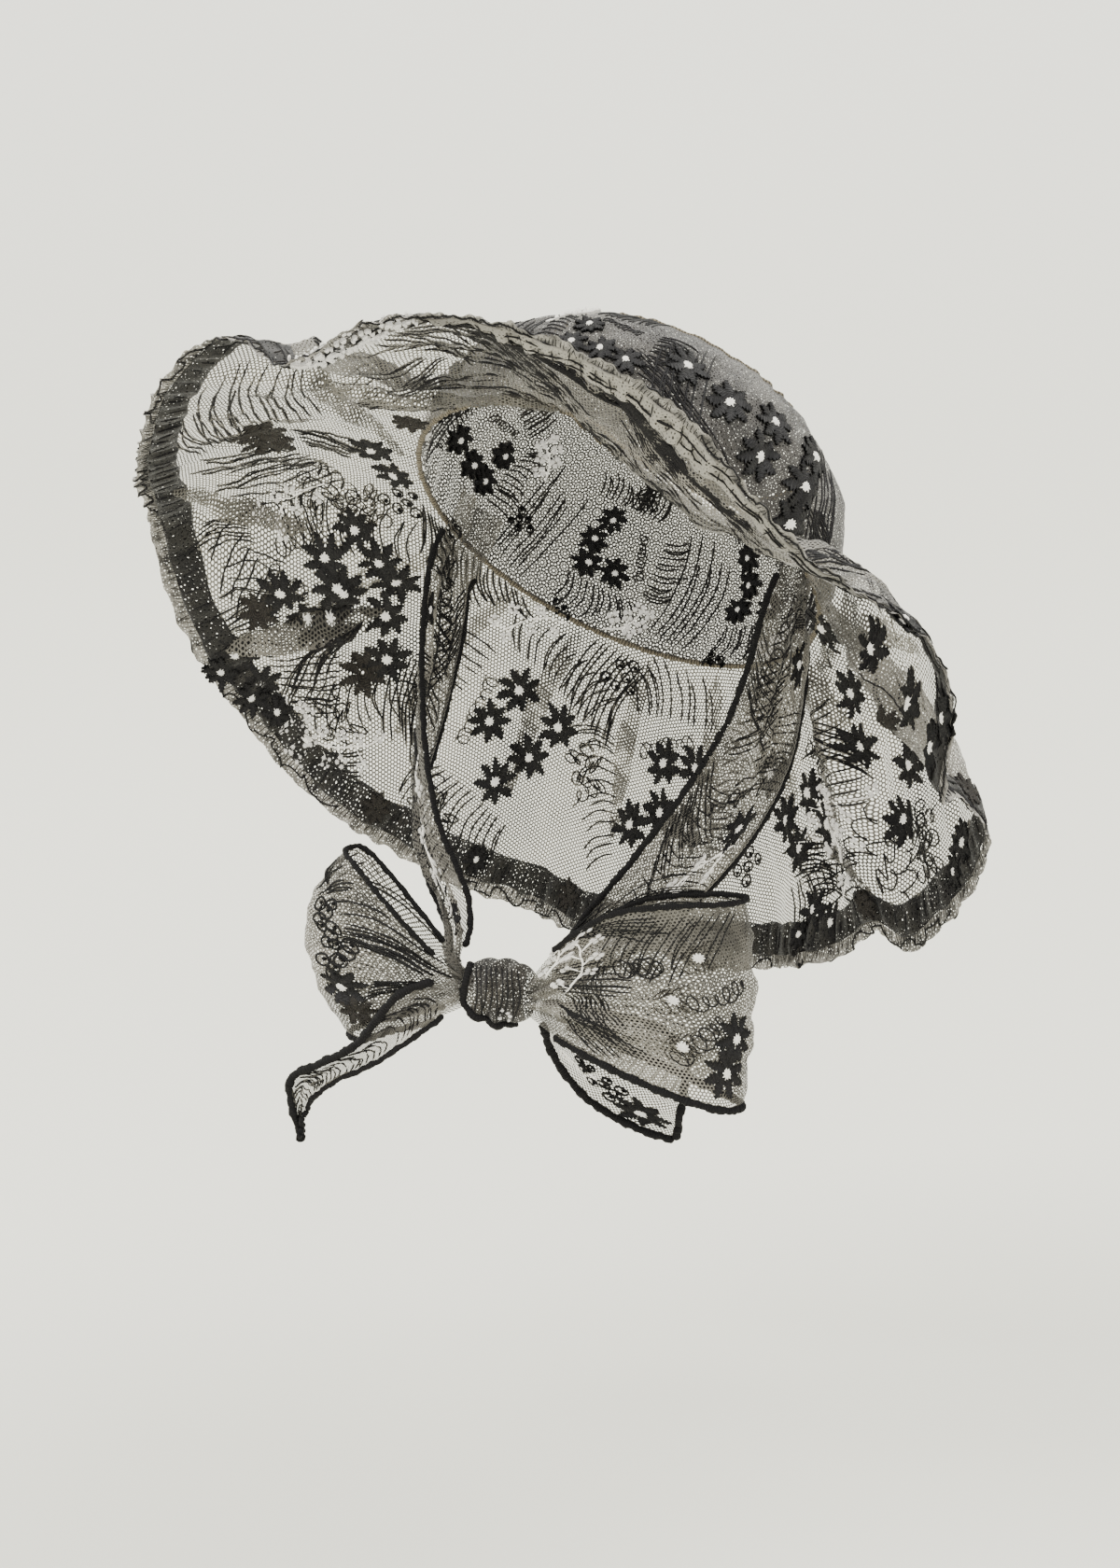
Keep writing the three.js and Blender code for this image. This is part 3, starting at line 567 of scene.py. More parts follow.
# shape is the surface and what stripCloth takes after the length; sides is the edged part of the length,
# edges the radii of its two edgings, and finished the mean width in metres
strips = {
    "tie_left": {"shape": (tieSurface(1), 5, 0.9), "length": 232, "sides": (.17, .86), "edges": (1.35, 1.35),
                 "finished": .036, "held": "gathered"},
    "tie_right": {"shape": (tieSurface(-1), 5, 0.9), "length": 232, "sides": (.17, .86), "edges": (1.3, 1.3),
                  "finished": .036, "held": "gathered"},
    "loop_left": {"shape": (loopSurface(1, leftLoopStages), 4, 0.8, 0.0, (1, 1)), "length": 215,
                  "sides": (.09, .91), "edges": (1.65, 1.2), "finished": .062, "held": "folded"},
    "loop_right": {"shape": (loopSurface(-1, rightLoopStages), 4, 0.8, 0.0, (1, 1)), "length": 150,
                   "sides": (.09, .91), "edges": (1.4, 1.1), "finished": .052, "held": "folded"},
    "tail_left": {"shape": (tailSurface(1, leftTailBends), 3, 0.5, 0.0, (0, 1)), "length": 72,
                  "sides": (.06, 1), "edges": (1.7, 1.3), "finished": .029, "held": "hung"},
    "tail_right": {"shape": (tailSurface(-1, rightTailBends), 3, 0.5, .93, (0, 1)), "length": 100,
                   "sides": (.1, 1), "edges": (1.2, 1.7), "finished": .013, "held": "hung"},
}
for strip in strips.values():
    surface, *folding = strip["shape"]
    strip["cloth"] = stripCloth(surface, strip["length"], *folding)


def clothAt(cloth, places, lift=0.0):
    # Points on a cloth and its normals there, for an array of places on its cut
    x, y = np.asarray(places, float).T
    step = 0.4
    alongX = cloth(x + step, y) - cloth(x - step, y)
    alongY = cloth(x, y + step) - cloth(x, y - step)
    normal = unit(np.cross(alongX, alongY))
    return cloth(x, y) + normal * lift, normal


def addMesh(name, points, faces, material, uvName, uvs):
    # uvs has one place for each corner of each face, in metres
    bpy.ops.object.select_all(action="DESELECT")
    mesh = bpy.data.meshes.new(name)
    mesh.from_pydata((np.asarray(points) * mm).tolist(), [], [tuple(f) for f in faces])
    layer = mesh.uv_layers.new(name=uvName)
    layer.data.foreach_set("uv", np.asarray(uvs, np.float32).ravel())
    mesh.polygons.foreach_set("use_smooth", [True] * len(mesh.polygons))
    mesh.materials.append(material)
    mesh.update()
    piece = bpy.data.objects.new(name, mesh)
    bpy.context.collection.objects.link(piece)
    return piece


def gridFaces(rows, columns, closedRows=False, closedColumns=False, base=0):
    # Squares of a grid of points, and the row and column of each corner; a closed side runs back to its start
    faces, corners = [], []
    for row in range(rows if closedRows else rows - 1):
        for column in range(columns if closedColumns else columns - 1):
            square = ((row, column), (row, column + 1), (row + 1, column + 1), (row + 1, column))
            faces.append(tuple(base + r % rows * columns + c % columns for r, c in square))
            corners += square
    return faces, corners


def tube(centre, side, other, size, sides, step, base=0, ridge=lambda angle: 1):
    # Rings of points round a line, the squares between them with two end caps, and places on the stitch map
    angles = [2 * math.pi * k / sides for k in range(sides)]
    rings = [centre + (side * math.cos(a) + other * math.sin(a)) * (size * ridge(a))[:, None] for a in angles]
    length = np.concatenate([[0], np.cumsum(np.linalg.norm(np.diff(centre, axis=0), axis=1))]) * mm
    faces, marks = gridFaces(len(centre), sides, closedColumns=True, base=base)
    uvs = [(length[n], k * step) for n, k in marks] + [(0, 0)] * (2 * sides)
    faces.append(tuple(base + k for k in range(sides))[::-1])
    faces.append(tuple(base + (len(centre) - 1) * sides + k for k in range(sides)))
    return np.stack(rings, 1).reshape(-1, 3), faces, uvs


def weave(name, cloth, grid, material, ring=False, pole=False):
    # One sheet from a grid of cut places; a ring's last column is its first one again, and a pole its last row
    rows, columns = grid.shape[:2]
    kept = columns - 1 if ring else columns
    x, y = grid[:, :kept].reshape(-1, 2).T
    points = cloth(x, y)
    faces, corners = gridFaces(rows - 1 if pole else rows, kept, closedColumns=ring)
    corners = [grid[corner] for corner in corners]
    if pole:
        last = (rows - 1) * kept
        for column in range(columns - 1):
            faces.append((last - kept + column, last - kept + (column + 1) % kept, last))
            corners += [grid[-2, column], grid[-2, column + 1], grid[-1, column]]
        points = points[:last + 1]
    return addMesh(name, points, faces, material, "cut", np.array(corners) * mm)


def dress(piece, nodes):
    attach(piece, "root")
    if nodes:
        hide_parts(*nodes)
    return piece


# Cloth sheets
root = hat["cutRadius"]
brimNet = weave("brim_net", brimCloth, ringPlaces(root, root + hat["brim"] + 1, 721, 43), tulleSingle, ring=True)
dress(brimNet, ["brim"])
sidePlaces = boxPlaces((-np.pi * root, 0), (np.pi * root, crownLook["sideHeight"]), 577, 29)
crownSideNet = weave("crown_side_net", crownSideCloth, sidePlaces, tulleDoubled, ring=True)
dress(crownSideNet, ["crown_side"])
tipPlaces = ringPlaces(crownLook["tipRadius"], 0, 289, 23)
crownTipNet = weave("crown_tip_net", crownTipCloth, tipPlaces, tulleDoubled, ring=True, pole=True)
dress(crownTipNet, ["crown_tip"])
print("crown and brim woven")

for name, strip in strips.items():
    columns, half = int(strip["length"] / stripLook["columnEvery"]), stripLook["width"] / 2
    places = boxPlaces((0, -half), (strip["length"], half), columns, stripLook["rows"])
    net = weave(name + "_net", strip["cloth"], places, tulleSingle)
    dress(net, [name])
print("ties and bow woven")

# Pressed pleats of the brim, where the net lies double: pixels along each, half width, side of the brim
brimPleats = [
    ([(240, 698), (320, 682), (408, 654)], 5.2, -1), ([(300, 380), (360, 432), (430, 486)], 5.6, -1),
    ([(168, 532), (240, 548), (330, 566)], 3.6, -1), ([(335, 412), (430, 436), (520, 434), (592, 462)], 6.5, -1),
    ([(470, 352), (600, 380), (700, 450), (780, 545)], 6.0, 1), ([(806, 596), (900, 672), (980, 700)], 5.5, 1),
    ([(812, 640), (860, 730), (925, 800)], 5.0, 1), ([(862, 898), (905, 940), (938, 974)], 4.6, 1),
    ([(640, 360), (740, 440), (815, 540)], 5.0, 1),
]
pleatFind = Finder(brimCloth, ringPlaces(root + 2, root + 118, 900, 60))
pleatLook = {"points": 60, "across": 7, "blunt": .45, "off": 0.5, "arch": 0.7, "overhang": .5, "cutShift": (3, 5)}


def foldPleats():
    points, faces, corners, flatArea, flatLength = [], [], [], 0.0, 0.0
    rings = [(np.array([pleatFind.at(*mark) for mark in marks]), half, side) for marks, half, side in brimPleats]
    for degrees in range(112, 262, 21):
        angle = math.radians(degrees)
        bends = ((98, 0), (135, .05), (180, .02))
        rings.append((np.array([(r * math.sin(angle + d), -r * math.cos(angle + d)) for r, d in bends]), 5.0, 1))
    for knots, half, side in rings:
        s = np.linspace(0, 1, pleatLook["points"])
        line = throughMarks(knots, pleatLook["points"])
        for _ in range(12):
            line[1:-1] = (line[:-2] + 2 * line[1:-1] + line[2:]) / 4
        ahead = unit(np.gradient(line, axis=0))
        beside = np.stack([-ahead[:, 1], ahead[:, 0]], -1)
        width = half * np.sin(np.pi * np.clip(s, .015, .985)) ** pleatLook["blunt"] * (1 + .12 * np.sin(14 * s))
        across = np.linspace(-1, 1, pleatLook["across"])
        grid = np.stack([line + beside * (width * a)[:, None] for a in across])
        flat = grid.reshape(-1, 2)
        arch = pleatLook["off"] + pleatLook["arch"] * (1 - across ** 2)
        arch = arch + pleatLook["overhang"] * np.maximum(across, 0)
        rise = np.repeat(arch, len(s))
        base, normal = clothAt(brimCloth, flat)
        offset = sum(len(p) for p in points)
        points.append(base + normal * (side * rise)[:, None])
        squares, marks = gridFaces(len(across), len(s), base=offset)
        faces += squares
        corners += [grid[mark] + pleatLook["cutShift"] for mark in marks]
        length = np.linalg.norm(np.diff(line, axis=0), axis=1).sum()
        flatArea += float(2 * width.mean() * length)
        flatLength += float(length)
    piece = addMesh("brim_pleat_net", np.concatenate(points), faces, tulleSingle, "cut", np.array(corners) * mm)
    return dress(piece, []), flatArea, flatLength


pleatNet, pleatArea, pleatLength = foldPleats()
print("pleats pressed")


# Hem: a doubled band with gathering stitches, and a ruffled lip
def hemPlaces(turn, distance):
    return (root + distance) * np.sin(turn), -(root + distance) * np.cos(turn)


hemLook = {"columns": 1041, "steps": 12, "thick": 1.5, "ruffles": 83, "ruffle": 1.3, "ruffleSway": 9,
           "lipWidth": 5.6, "stitches": 820, "longStitches": 30, "inner": (113, 118), "outer": (121, 126),
           "bite": (3.6, 5.6), "slant": (-.006, .006)}
hemMiddle = hat["brim"] + hat["hem"] / 2
turns = np.linspace(-np.pi, np.pi, hemLook["columns"])


def hemBand():
    # A flattened tube of doubled net from the seam to the brim's edge
    steps, kept = hemLook["steps"], len(turns) - 1
    around = turns[:-1]
    halfWidth = hat["hem"] / 2 + .5 * np.sin(43 * around + 2 * np.sin(9 * around))
    gathers = 0.55 * np.sin(150 * around + 2 * np.sin(11 * around)) + .45 * np.sin(97 * around + 3)
    points, places = [], []
    for step in range(steps):
        angle = 2 * np.pi * step / steps
        base, normal = clothAt(brimCloth, np.stack(hemPlaces(around, hemMiddle + halfWidth * np.cos(angle)), -1))
        lift = hemLook["thick"] / 2 * np.sin(angle) + gathers * abs(math.sin(angle))
        points.append(base + normal * lift[:, None])
        flat = hemMiddle + hat["hem"] * abs((step / steps * 2 + 1) % 2 - 1)
        places.append(np.stack(hemPlaces(turns, flat), -1))
    places.append(np.stack(hemPlaces(turns, hemMiddle + hat["hem"]), -1))
    faces, corners = gridFaces(steps, kept, closedRows=True, closedColumns=True)
    corners = [places[step][column] for step, column in corners]
    return addMesh("hem_band_net", np.concatenate(points), faces, tulleHem, "cut", np.array(corners) * mm)


def lipCloth(x, y):
    distance = np.hypot(x, y) - root
    turn = np.arctan2(x, -y)
    share = np.clip((distance - wholeBrim) / 6, 0, 1.2)
    sway = hemLook["ruffles"] * turn + 1.2 * np.sin(hemLook["ruffleSway"] * turn) + 0.8 * np.sin(23 * turn)
    uneven = .65 + .35 * np.sin(17 * turn + 2 * np.sin(5 * turn))
    lift = hemLook["ruffle"] * uneven * share * np.sin(sway)
    lift = lift + 0.45 * share * np.sin(2.7 * hemLook["ruffles"] * turn)
    shrink = share * (0.9 * uneven * np.cos(sway) + 1.1 * np.sin(13 * turn + 1) * np.sin(4 * turn))
    return brimPoint(turn, distance - shrink, lift)


hemNet = dress(hemBand(), ["hem_band"])
lipPlaces = ringPlaces(root + wholeBrim - 0.5, root + wholeBrim + hemLook["lipWidth"], 1561, 6)
lipNet = weave("hem_lip_net", lipCloth, lipPlaces, tulleLip, ring=True)
dress(lipNet, ["hem_lip"])
print("hem made")


# A stroke's thread has sides, a narrower tip and a step on its cut round it; a patch's edge and its points
# stand off the cloth by off and rim, in millimetres
threadLook = {"sides": 4, "tip": 0.45, "step": 4e-4, "off": 0.25, "rim": 0.3,
              "patchLength": 0.01, "patchWidth": 0.003}


# Thread work: strokes are round threads along lines on a cut, and patches are satin-stitched shapes
class ThreadWork:
    def __init__(self, cloth, raised=0.0):
        self.cloth = cloth
        self.raised = raised
        self.strokes = {}
        self.patches = {}

    def stroke(self, colour, line, radius=0.42, lift=0.15):
        if len(line) > 1:
            self.strokes.setdefault(colour, []).append((np.asarray(line, float), radius, lift))

    def patch(self, colour, left, middle, right, height=0.55):
        self.patches.setdefault(colour, []).append((left, middle, right, height))

    def spunStrokes(self, colour):
        # Points, faces and places on the stitch map for each stroke
        strokes = self.strokes.get(colour, [])
        if not strokes:
            return [], [], []
        centres, normals = clothAt(self.cloth, np.concatenate([line for line, _, _ in strokes]))
        centres = centres + normals * np.concatenate([np.full(len(line), lift) for line, _, lift in strokes])[:, None]
        points, faces, uvs, used = [], [], [], 0
        for line, radius, _ in strokes:
            count = len(line)
            centre, normal = centres[used:used + count], normals[used:used + count]
            across = np.cross(unit(np.gradient(centre, axis=0)), normal)
            size = np.full(count, radius)
            size[[0, -1]] *= threadLook["tip"]
            sides = threadLook["sides"]
            made = tube(centre, normal, across, size, sides, threadLook["step"], base=used * sides)
            points.append(made[0])
            faces += made[1]
            uvs += made[2]
            used += count
        return points, faces, uvs

    def meshes(self, colour):
        points, faces, uvs = self.spunStrokes(colour)
        base = sum(len(p) for p in points)
        patches = self.patches.get(colour, [])
        if patches:
            outlines = [np.concatenate([left, middle, right]) for left, middle, right, _ in patches]
            allCentres, allNormals = clothAt(self.cloth, np.concatenate(outlines))
            used = 0
        for left, middle, right, height in patches:
            count = len(middle)
            total = 3 * count
            centre, normal = allCentres[used:used + total], allNormals[used:used + total]
            used += total
            domed = np.concatenate([np.zeros(count), np.full(count, height), np.zeros(count)])
            domed = domed + threadLook["off"] + self.raised
            domed[[count, 2 * count - 1]] = threadLook["rim"] + self.raised
            points.append(centre + normal * domed[:, None])
            points.append(centre - normal * domed[:, None])
            along, wide = np.linspace(0, threadLook["patchLength"], count), threadLook["patchWidth"]
            for n in range(count - 1):
                for a, b, s in ((0, count, 0), (count, 2 * count, wide)):
                    quad = (base + a + n, base + b + n, base + b + n + 1, base + a + n + 1)
                    corner = [(along[n], s), (along[n], s + wide), (along[n + 1], s + wide), (along[n + 1], s)]
                    faces.append(quad)
                    uvs += corner
                    faces.append(tuple(q + total for q in quad)[::-1])
                    uvs += corner[::-1]
                for rim, flip in ((0, False), (2 * count, True)):
                    side = (base + rim + n, base + rim + n + 1, base + rim + n + 1 + total, base + rim + n + total)
                    faces.append(side if flip else side[::-1])
                    uvs += [(0, 0)] * 4
            for row, flip in ((0, True), (count - 1, False)):
                for a, b in ((0, count), (count, 2 * count)):
                    end = (base + a + row, base + b + row, base + b + row + total, base + a + row + total)
                    faces.append(end if not flip else end[::-1])
                    uvs += [(0, 0)] * 4
            base += 2 * total
        return points, faces, uvs

    def sew(self, name, slotName):
        made = []
        for colour, material in (("black", blackThread), ("grey", greyThread), ("cream", creamThread)):
            points, faces, uvs = self.meshes(colour)
            if faces:
                title = f"{name}_{colour}_embroidery"
                piece = addMesh(title, np.concatenate(points), faces, material, "stitch", uvs)
                made.append(dress(piece, []))
        return made


def turned(angle):
    # Matrix that turns rows of places on the cut
    c, s = math.cos(angle), math.sin(angle)
    return np.array([[c, s], [-s, c]])


def toward(angle):
    return np.array([math.cos(angle), math.sin(angle)])


# A petal's outline along its axis, as shares of the flower's size, and the jags of its edge
petalLook = {
    "stations": (.08, .2, .3, .36, .46, .5, .6, .64, .74, .78, .88, .92, 1),
    "widths": (.12, .2, .26, .42, .26, .5, .26, .48, .2, .38, .12, .18, .02),
    "jags": (0, 0, -.2, .6, -.4, .9, -.4, .9, -.3, .7, -.2, .4, 0),
}


def flower(work, place, size=12.5, turn=0.0, colour="black", centre=True, stretch=(1, 1)):
    # Ragged star of eight satin-stitched petals round a cream eye
    stations = np.array(petalLook["stations"])
    for petal in range(8):
        angle = turn + petal * math.pi / 4 + chance.uniform(-.1, .1)
        length = size * chance.uniform(.88, 1.1)
        widths = np.array(petalLook["widths"])
        sides = [widths * size * chance.uniform(.8, 1.2, len(stations)) / 2 for _ in range(2)]
        axis = np.stack([stations * length, size * .05 * np.sin(stations * 5 + petal)], -1)
        jag = np.array(petalLook["jags"]) * size * .06
        spin = turned(angle)
        left = (axis + np.stack([jag, sides[0]], -1)) @ spin * stretch + place
        right = (axis + np.stack([jag * .8, -sides[1]], -1)) @ spin * stretch + place
        work.patch(colour, left, axis @ spin * stretch + place, right)
    if centre:
        eyeOf(work, place, size * .26, stretch)


def eyeOf(work, place, radius, stretch=(1, 1), colour="cream"):
    # Small raised button of stitches
    for k in range(5):
        angle = k * math.pi / 5
        stations = np.linspace(-1, 1, 5)
        width = np.sqrt(np.maximum(1.05 - stations ** 2, 0)) * radius * .55
        axis = np.stack([stations * radius, 0 * stations], -1)
        side = np.stack([0 * stations, width / 2], -1)
        left, middle, right = ((axis + side * s) @ turned(angle) * stretch + place for s in (1, 0, -1))
        work.patch(colour, left, middle, right, 0.95)


def comb(work, ribStart, ribEnd, tipStart, tipEnd, count, bend=0.15, radius=0.43, doubled=0.2, uneven=0.12):
    # Long fine stitches side by side from a rib to their tips, some doubled back like a narrow loop
    ribStart, ribEnd, tipStart, tipEnd = (np.asarray(p, float) for p in (ribStart, ribEnd, tipStart, tipEnd))
    for k in range(count):
        t = (k + .5 + chance.uniform(-.25, .25)) / count
        base = ribStart + (ribEnd - ribStart) * t
        tip = tipStart + (tipEnd - tipStart) * t
        tip = base + (tip - base) * chance.uniform(1 - 2 * uneven, 1 + uneven)
        away = tip - base
        beside = np.array([-away[1], away[0]])

        def curve(s):
            return base + away * s + beside * bend * (math.sin(math.pi * s * .8) + .05 * math.sin(9 * s + k))

        line = [curve(s) for s in np.linspace(0, 1, 12)]
        if chance.random() < doubled:
            gap = beside / max(np.linalg.norm(beside), 1e-6) * chance.uniform(1.0, 1.9)
            line += [curve(s) + gap * math.sin(math.pi * min(1, s * .9 + .1)) for s in np.linspace(1, .12, 10)]
        work.stroke("black", line, radius)


def scribble(work, start, end, loops, size, colour="black", radius=0.36):
    # Running line of small loops, as a lazy chain of stitches
    start, end = np.asarray(start, float), np.asarray(end, float)
    t = np.linspace(0, 1, loops * 9 + 1)
    spin = 2 * np.pi * loops * t
    ahead = (end - start) / max(np.linalg.norm(end - start), 1e-6)
    beside = np.array([-ahead[1], ahead[0]])
    wander = size * (1 + .35 * np.sin(5.1 * t * loops / 3 + 1))
    line = (start + (end - start) * t[:, None] + ahead * (np.sin(spin) * wander * .75)[:, None]
            + beside * (np.cos(spin) * wander)[:, None])
    work.stroke(colour, line, radius)


def squiggle(work, middle, width, height, colour="black", radius=0.42, rows=4, turn=0.0):
    # Vermicelli filling: one wandering line that fills a patch
    t = np.linspace(0, 1, rows * 26)
    x = (np.abs((t * rows) % 2 - 1) - .5) * width * (0.85 + .15 * np.sin(9 * t))
    y = (t - .5) * height
    spin = 2 * np.pi * rows * 3.2 * t
    line = np.stack([x + np.sin(spin * 1.1) * 2.4, y + np.cos(spin) * 3.0], -1) @ turned(turn) + middle
    work.stroke(colour, line, radius)


def scrolls(work, middle, count, spread, size, colour="black"):
    # Cluster of small rings with a dot in each
    for k in range(count):
        place = np.asarray(middle) + toward(2.4 * k) * spread * math.sqrt((k + .4) / count)
        radius = size * chance.uniform(.8, 1.15)
        ring = [place + radius * toward(angle) for angle in np.linspace(0, 6.8, 15)]
        work.stroke(colour, ring, 0.5)
        eyeOf(work, place + radius * .3, .9, colour=colour)


def sprig(work, start, end, branches, reach, colour="cream", radius=0.48):
    # Curved twig with little branches that end in clustered dots
    start, end = np.asarray(start, float), np.asarray(end, float)
    rib = end - start
    ahead = rib / np.linalg.norm(rib)
    beside = np.array([-ahead[1], ahead[0]])

    def ribAt(t):
        return start + rib * t + beside * np.linalg.norm(rib) * .14 * math.sin(math.pi * t)

    work.stroke(colour, [ribAt(t) for t in np.linspace(0, 1, 13)], radius, 0)
    for k in range(branches):
        t = (k + 1) / (branches + .5)
        side = 1 if k % 2 else -1
        base = ribAt(t)
        tip = base + (ahead * .75 + beside * side * .8) * reach * chance.uniform(.7, 1.1)
        twig = [base + (tip - base) * s + ahead * math.sin(math.pi * s) * 1.2 for s in np.linspace(0, 1, 6)]
        work.stroke(colour, twig, radius * .8, 0)
        for dot in range(4):
            eyeOf(work, tip + 1.9 * toward(dot * 1.6 + k), 1.15, colour=colour)


brimWork = ThreadWork(brimCloth)
brimFind = Finder(brimCloth, ringPlaces(root + 3, root + 116, 900, 60))

# px, py, size on the cut in millimetres
brimFlowers = [
    (378, 568, 10), (350, 598, 10.5), (299, 636, 10.5), (404, 604, 10), (368, 637, 10.5), (326, 664, 10.5),
    (238, 719, 10.5), (268, 748, 10.5), (397, 483, 11), (422, 510, 10), (869, 673, 10.5), (930, 697, 10),
    (911, 742, 10.5), (971, 755, 10.5), (922, 799, 10.5), (972, 820, 10.5), (969, 878, 10.5), (1028, 915, 10),
    (871, 975, 10.5), (893, 1014, 10),
]
brimGreyFlowers = [
    (285, 478, 14), (388, 724, 11), (275, 655, 9), (560, 440, 9), (440, 455, 9), (945, 775, 8),
]
for px, py, size in brimFlowers:
    flower(brimWork, brimFind.at(px, py), size, chance.uniform(0, 1))
for px, py, size in brimGreyFlowers:
    flower(brimWork, brimFind.at(px, py), size, chance.uniform(0, 1), "grey", centre=False)

# ends of each rib and of its tips in the photograph, strokes, bend
brimCombs = [
    ((276, 586), (262, 556), (208, 604), (206, 574), 6, .12),
    ((378, 672), (392, 664), (302, 756), (352, 742), 9, .14),
    ((368, 700), (362, 765), (292, 712), (300, 762), 9, -.1),
    ((390, 800), (388, 842), (334, 796), (352, 836), 7, -.12),
    ((300, 640), (300, 662), (232, 668), (240, 690), 5, .1),
    ((352, 432), (384, 404), (452, 408), (476, 384), 8, .1),
    ((372, 440), (388, 424), (484, 442), (506, 424), 6, .08),
    ((466, 356), (560, 350), (560, 408), (646, 444), 12, .1),
    ((540, 345), (606, 350), (724, 470), (786, 508), 9, .1),
    ((640, 372), (704, 384), (800, 572), (840, 592), 10, .06),
    ((620, 400), (668, 420), (700, 500), (760, 545), 8, .05),
    ((440, 345), (500, 338), (540, 372), (600, 366), 7, .08),
    ((400, 372), (440, 352), (500, 400), (530, 372), 7, -.1),
    ((814, 574), (852, 562), (934, 682), (984, 690), 10, .06),
    ((866, 775), (852, 822), (936, 806), (912, 842), 8, -.16),
    ((930, 986), (862, 900), (858, 962), (834, 918), 10, .12),
    ((880, 905), (930, 960), (840, 905), (880, 990), 9, .1),
    ((975, 760), (985, 830), (930, 720), (950, 800), 7, .1),
    ((430, 690), (470, 740), (420, 780), (460, 820), 9, .12),
    ((520, 560), (600, 590), (500, 640), (580, 670), 11, .12),
    ((450, 540), (500, 560), (440, 610), (480, 640), 8, -.12),
    ((640, 680), (700, 720), (600, 760), (660, 800), 10, .12),
]
# ends, loops, size
brimChains = [
    ((295, 590), (345, 565), 7, 3), ((290, 610), (330, 640), 6, 3), ((330, 545), (400, 530), 7, 3),
    ((850, 640), (905, 770), 10, 3), ((980, 860), (1005, 960), 9, 3), ((862, 660), (880, 720), 6, 3),
]
# middle, width, height, colour
brimPatches = [
    ((340, 520), 26, 26, "black"), ((385, 545), 20, 20, "grey"), ((952, 925), 34, 32, "black"),
    ((632, 478), 28, 26, "black"), ((988, 905), 20, 24, "black"), ((560, 480), 18, 16, "grey"),
]
# ends, branches, reach
brimTwigs = [
    ((846, 905), (880, 850), 6, 9), ((862, 862), (934, 856), 7, 8), ((850, 888), (925, 890), 6, 7),
    ((300, 775), (395, 800), 9, 8), ((306, 745), (330, 800), 6, 7),
]


def combsAt(work, place, rows, **look):
    # A table of combs, with place to turn each corner into a place on the cut
    for *corners, count, bend in rows:
        comb(work, *(place(*corner) for corner in corners), count, bend, **look)


combsAt(brimWork, brimFind.at, brimCombs, radius=.5, doubled=.12)
for start, end, loops, size in brimChains:
    scribble(brimWork, brimFind.at(*start), brimFind.at(*end), loops, size)
for middle, width, height, colour in brimPatches:
    squiggle(brimWork, brimFind.at(*middle), width, height, colour, rows=5, turn=chance.uniform(0, 3))
for start, end, branches, reach in brimTwigs:
    sprig(brimWork, brimFind.at(*start), brimFind.at(*end), branches, reach)


def brimPlace(degrees, distance):
    # Place on the brim's cut from its turn, 0 in front, and its distance from the root
    angle = math.radians(degrees)
    return np.array([(root + distance) * math.sin(angle), -(root + distance) * math.cos(angle)])


# The same where the brim stands up in front, in degrees and millimetres on the cut
frontCombs = [
    ((-6, 100), (2, 56), (26, 60), (30, 8), 5, .05), ((12, 104), (18, 66), (38, 74), (46, 22), 5, .05),
    ((30, 100), (34, 64), (58, 84), (64, 30), 6, .05), ((46, 104), (52, 64), (74, 92), (82, 34), 6, .05),
    ((-24, 104), (-14, 60), (2, 46), (8, 6), 6, .05), ((-61, 96), (-46, 46), (-28, 108), (-27, 66), 13, -.12),
    ((-65, 102), (-58, 80), (-44, 114), (-34, 102), 8, -.12),
    ((-66, 62), (-80, 38), (-66, 108), (-84, 104), 10, -.1),
    ((-56, 60), (-66, 52), (-58, 30), (-72, 26), 6, .12), ((-92, 84), (-84, 96), (-98, 104), (-88, 110), 5, .1),
]
combsAt(brimWork, brimPlace, frontCombs, radius=.5, doubled=.1)
squiggle(brimWork, brimPlace(19, 34), 46, 40, "black", rows=6, turn=.5)
flower(brimWork, brimPlace(-58, 74), 14, .3, "grey", centre=False, stretch=(1, 1.3))
sprig(brimWork, brimPlace(35, 8), brimPlace(58, 12), 11, 7, radius=.5)


def hemFace(side):
    # Just off one face of the doubled band
    return lambda x, y: clothAt(brimCloth, np.stack([x, y], -1), side * 1.05)[0]


def blossom(work, place, size, colour="cream"):
    # Small raised petals, scattered loosely
    for k in range(5):
        angle = k * 2.6 + chance.uniform(-.5, .5)
        away = size * chance.uniform(.7, 1.5)
        eyeOf(work, place + away * toward(angle), size * chance.uniform(.3, .5), (1, .6), colour)


hemWorks = [ThreadWork(hemFace(1)), ThreadWork(hemFace(-1))]
lipWork = ThreadWork(lipCloth)


def hemLine(turn, away, turnBy, goBy, count, bend=lambda s: 0):
    # Stitch on the hem from a turn and a distance from the root
    return [hemPlaces(turn + turnBy * s, away + goBy * s + bend(s)) for s in np.linspace(0, 1, count)]


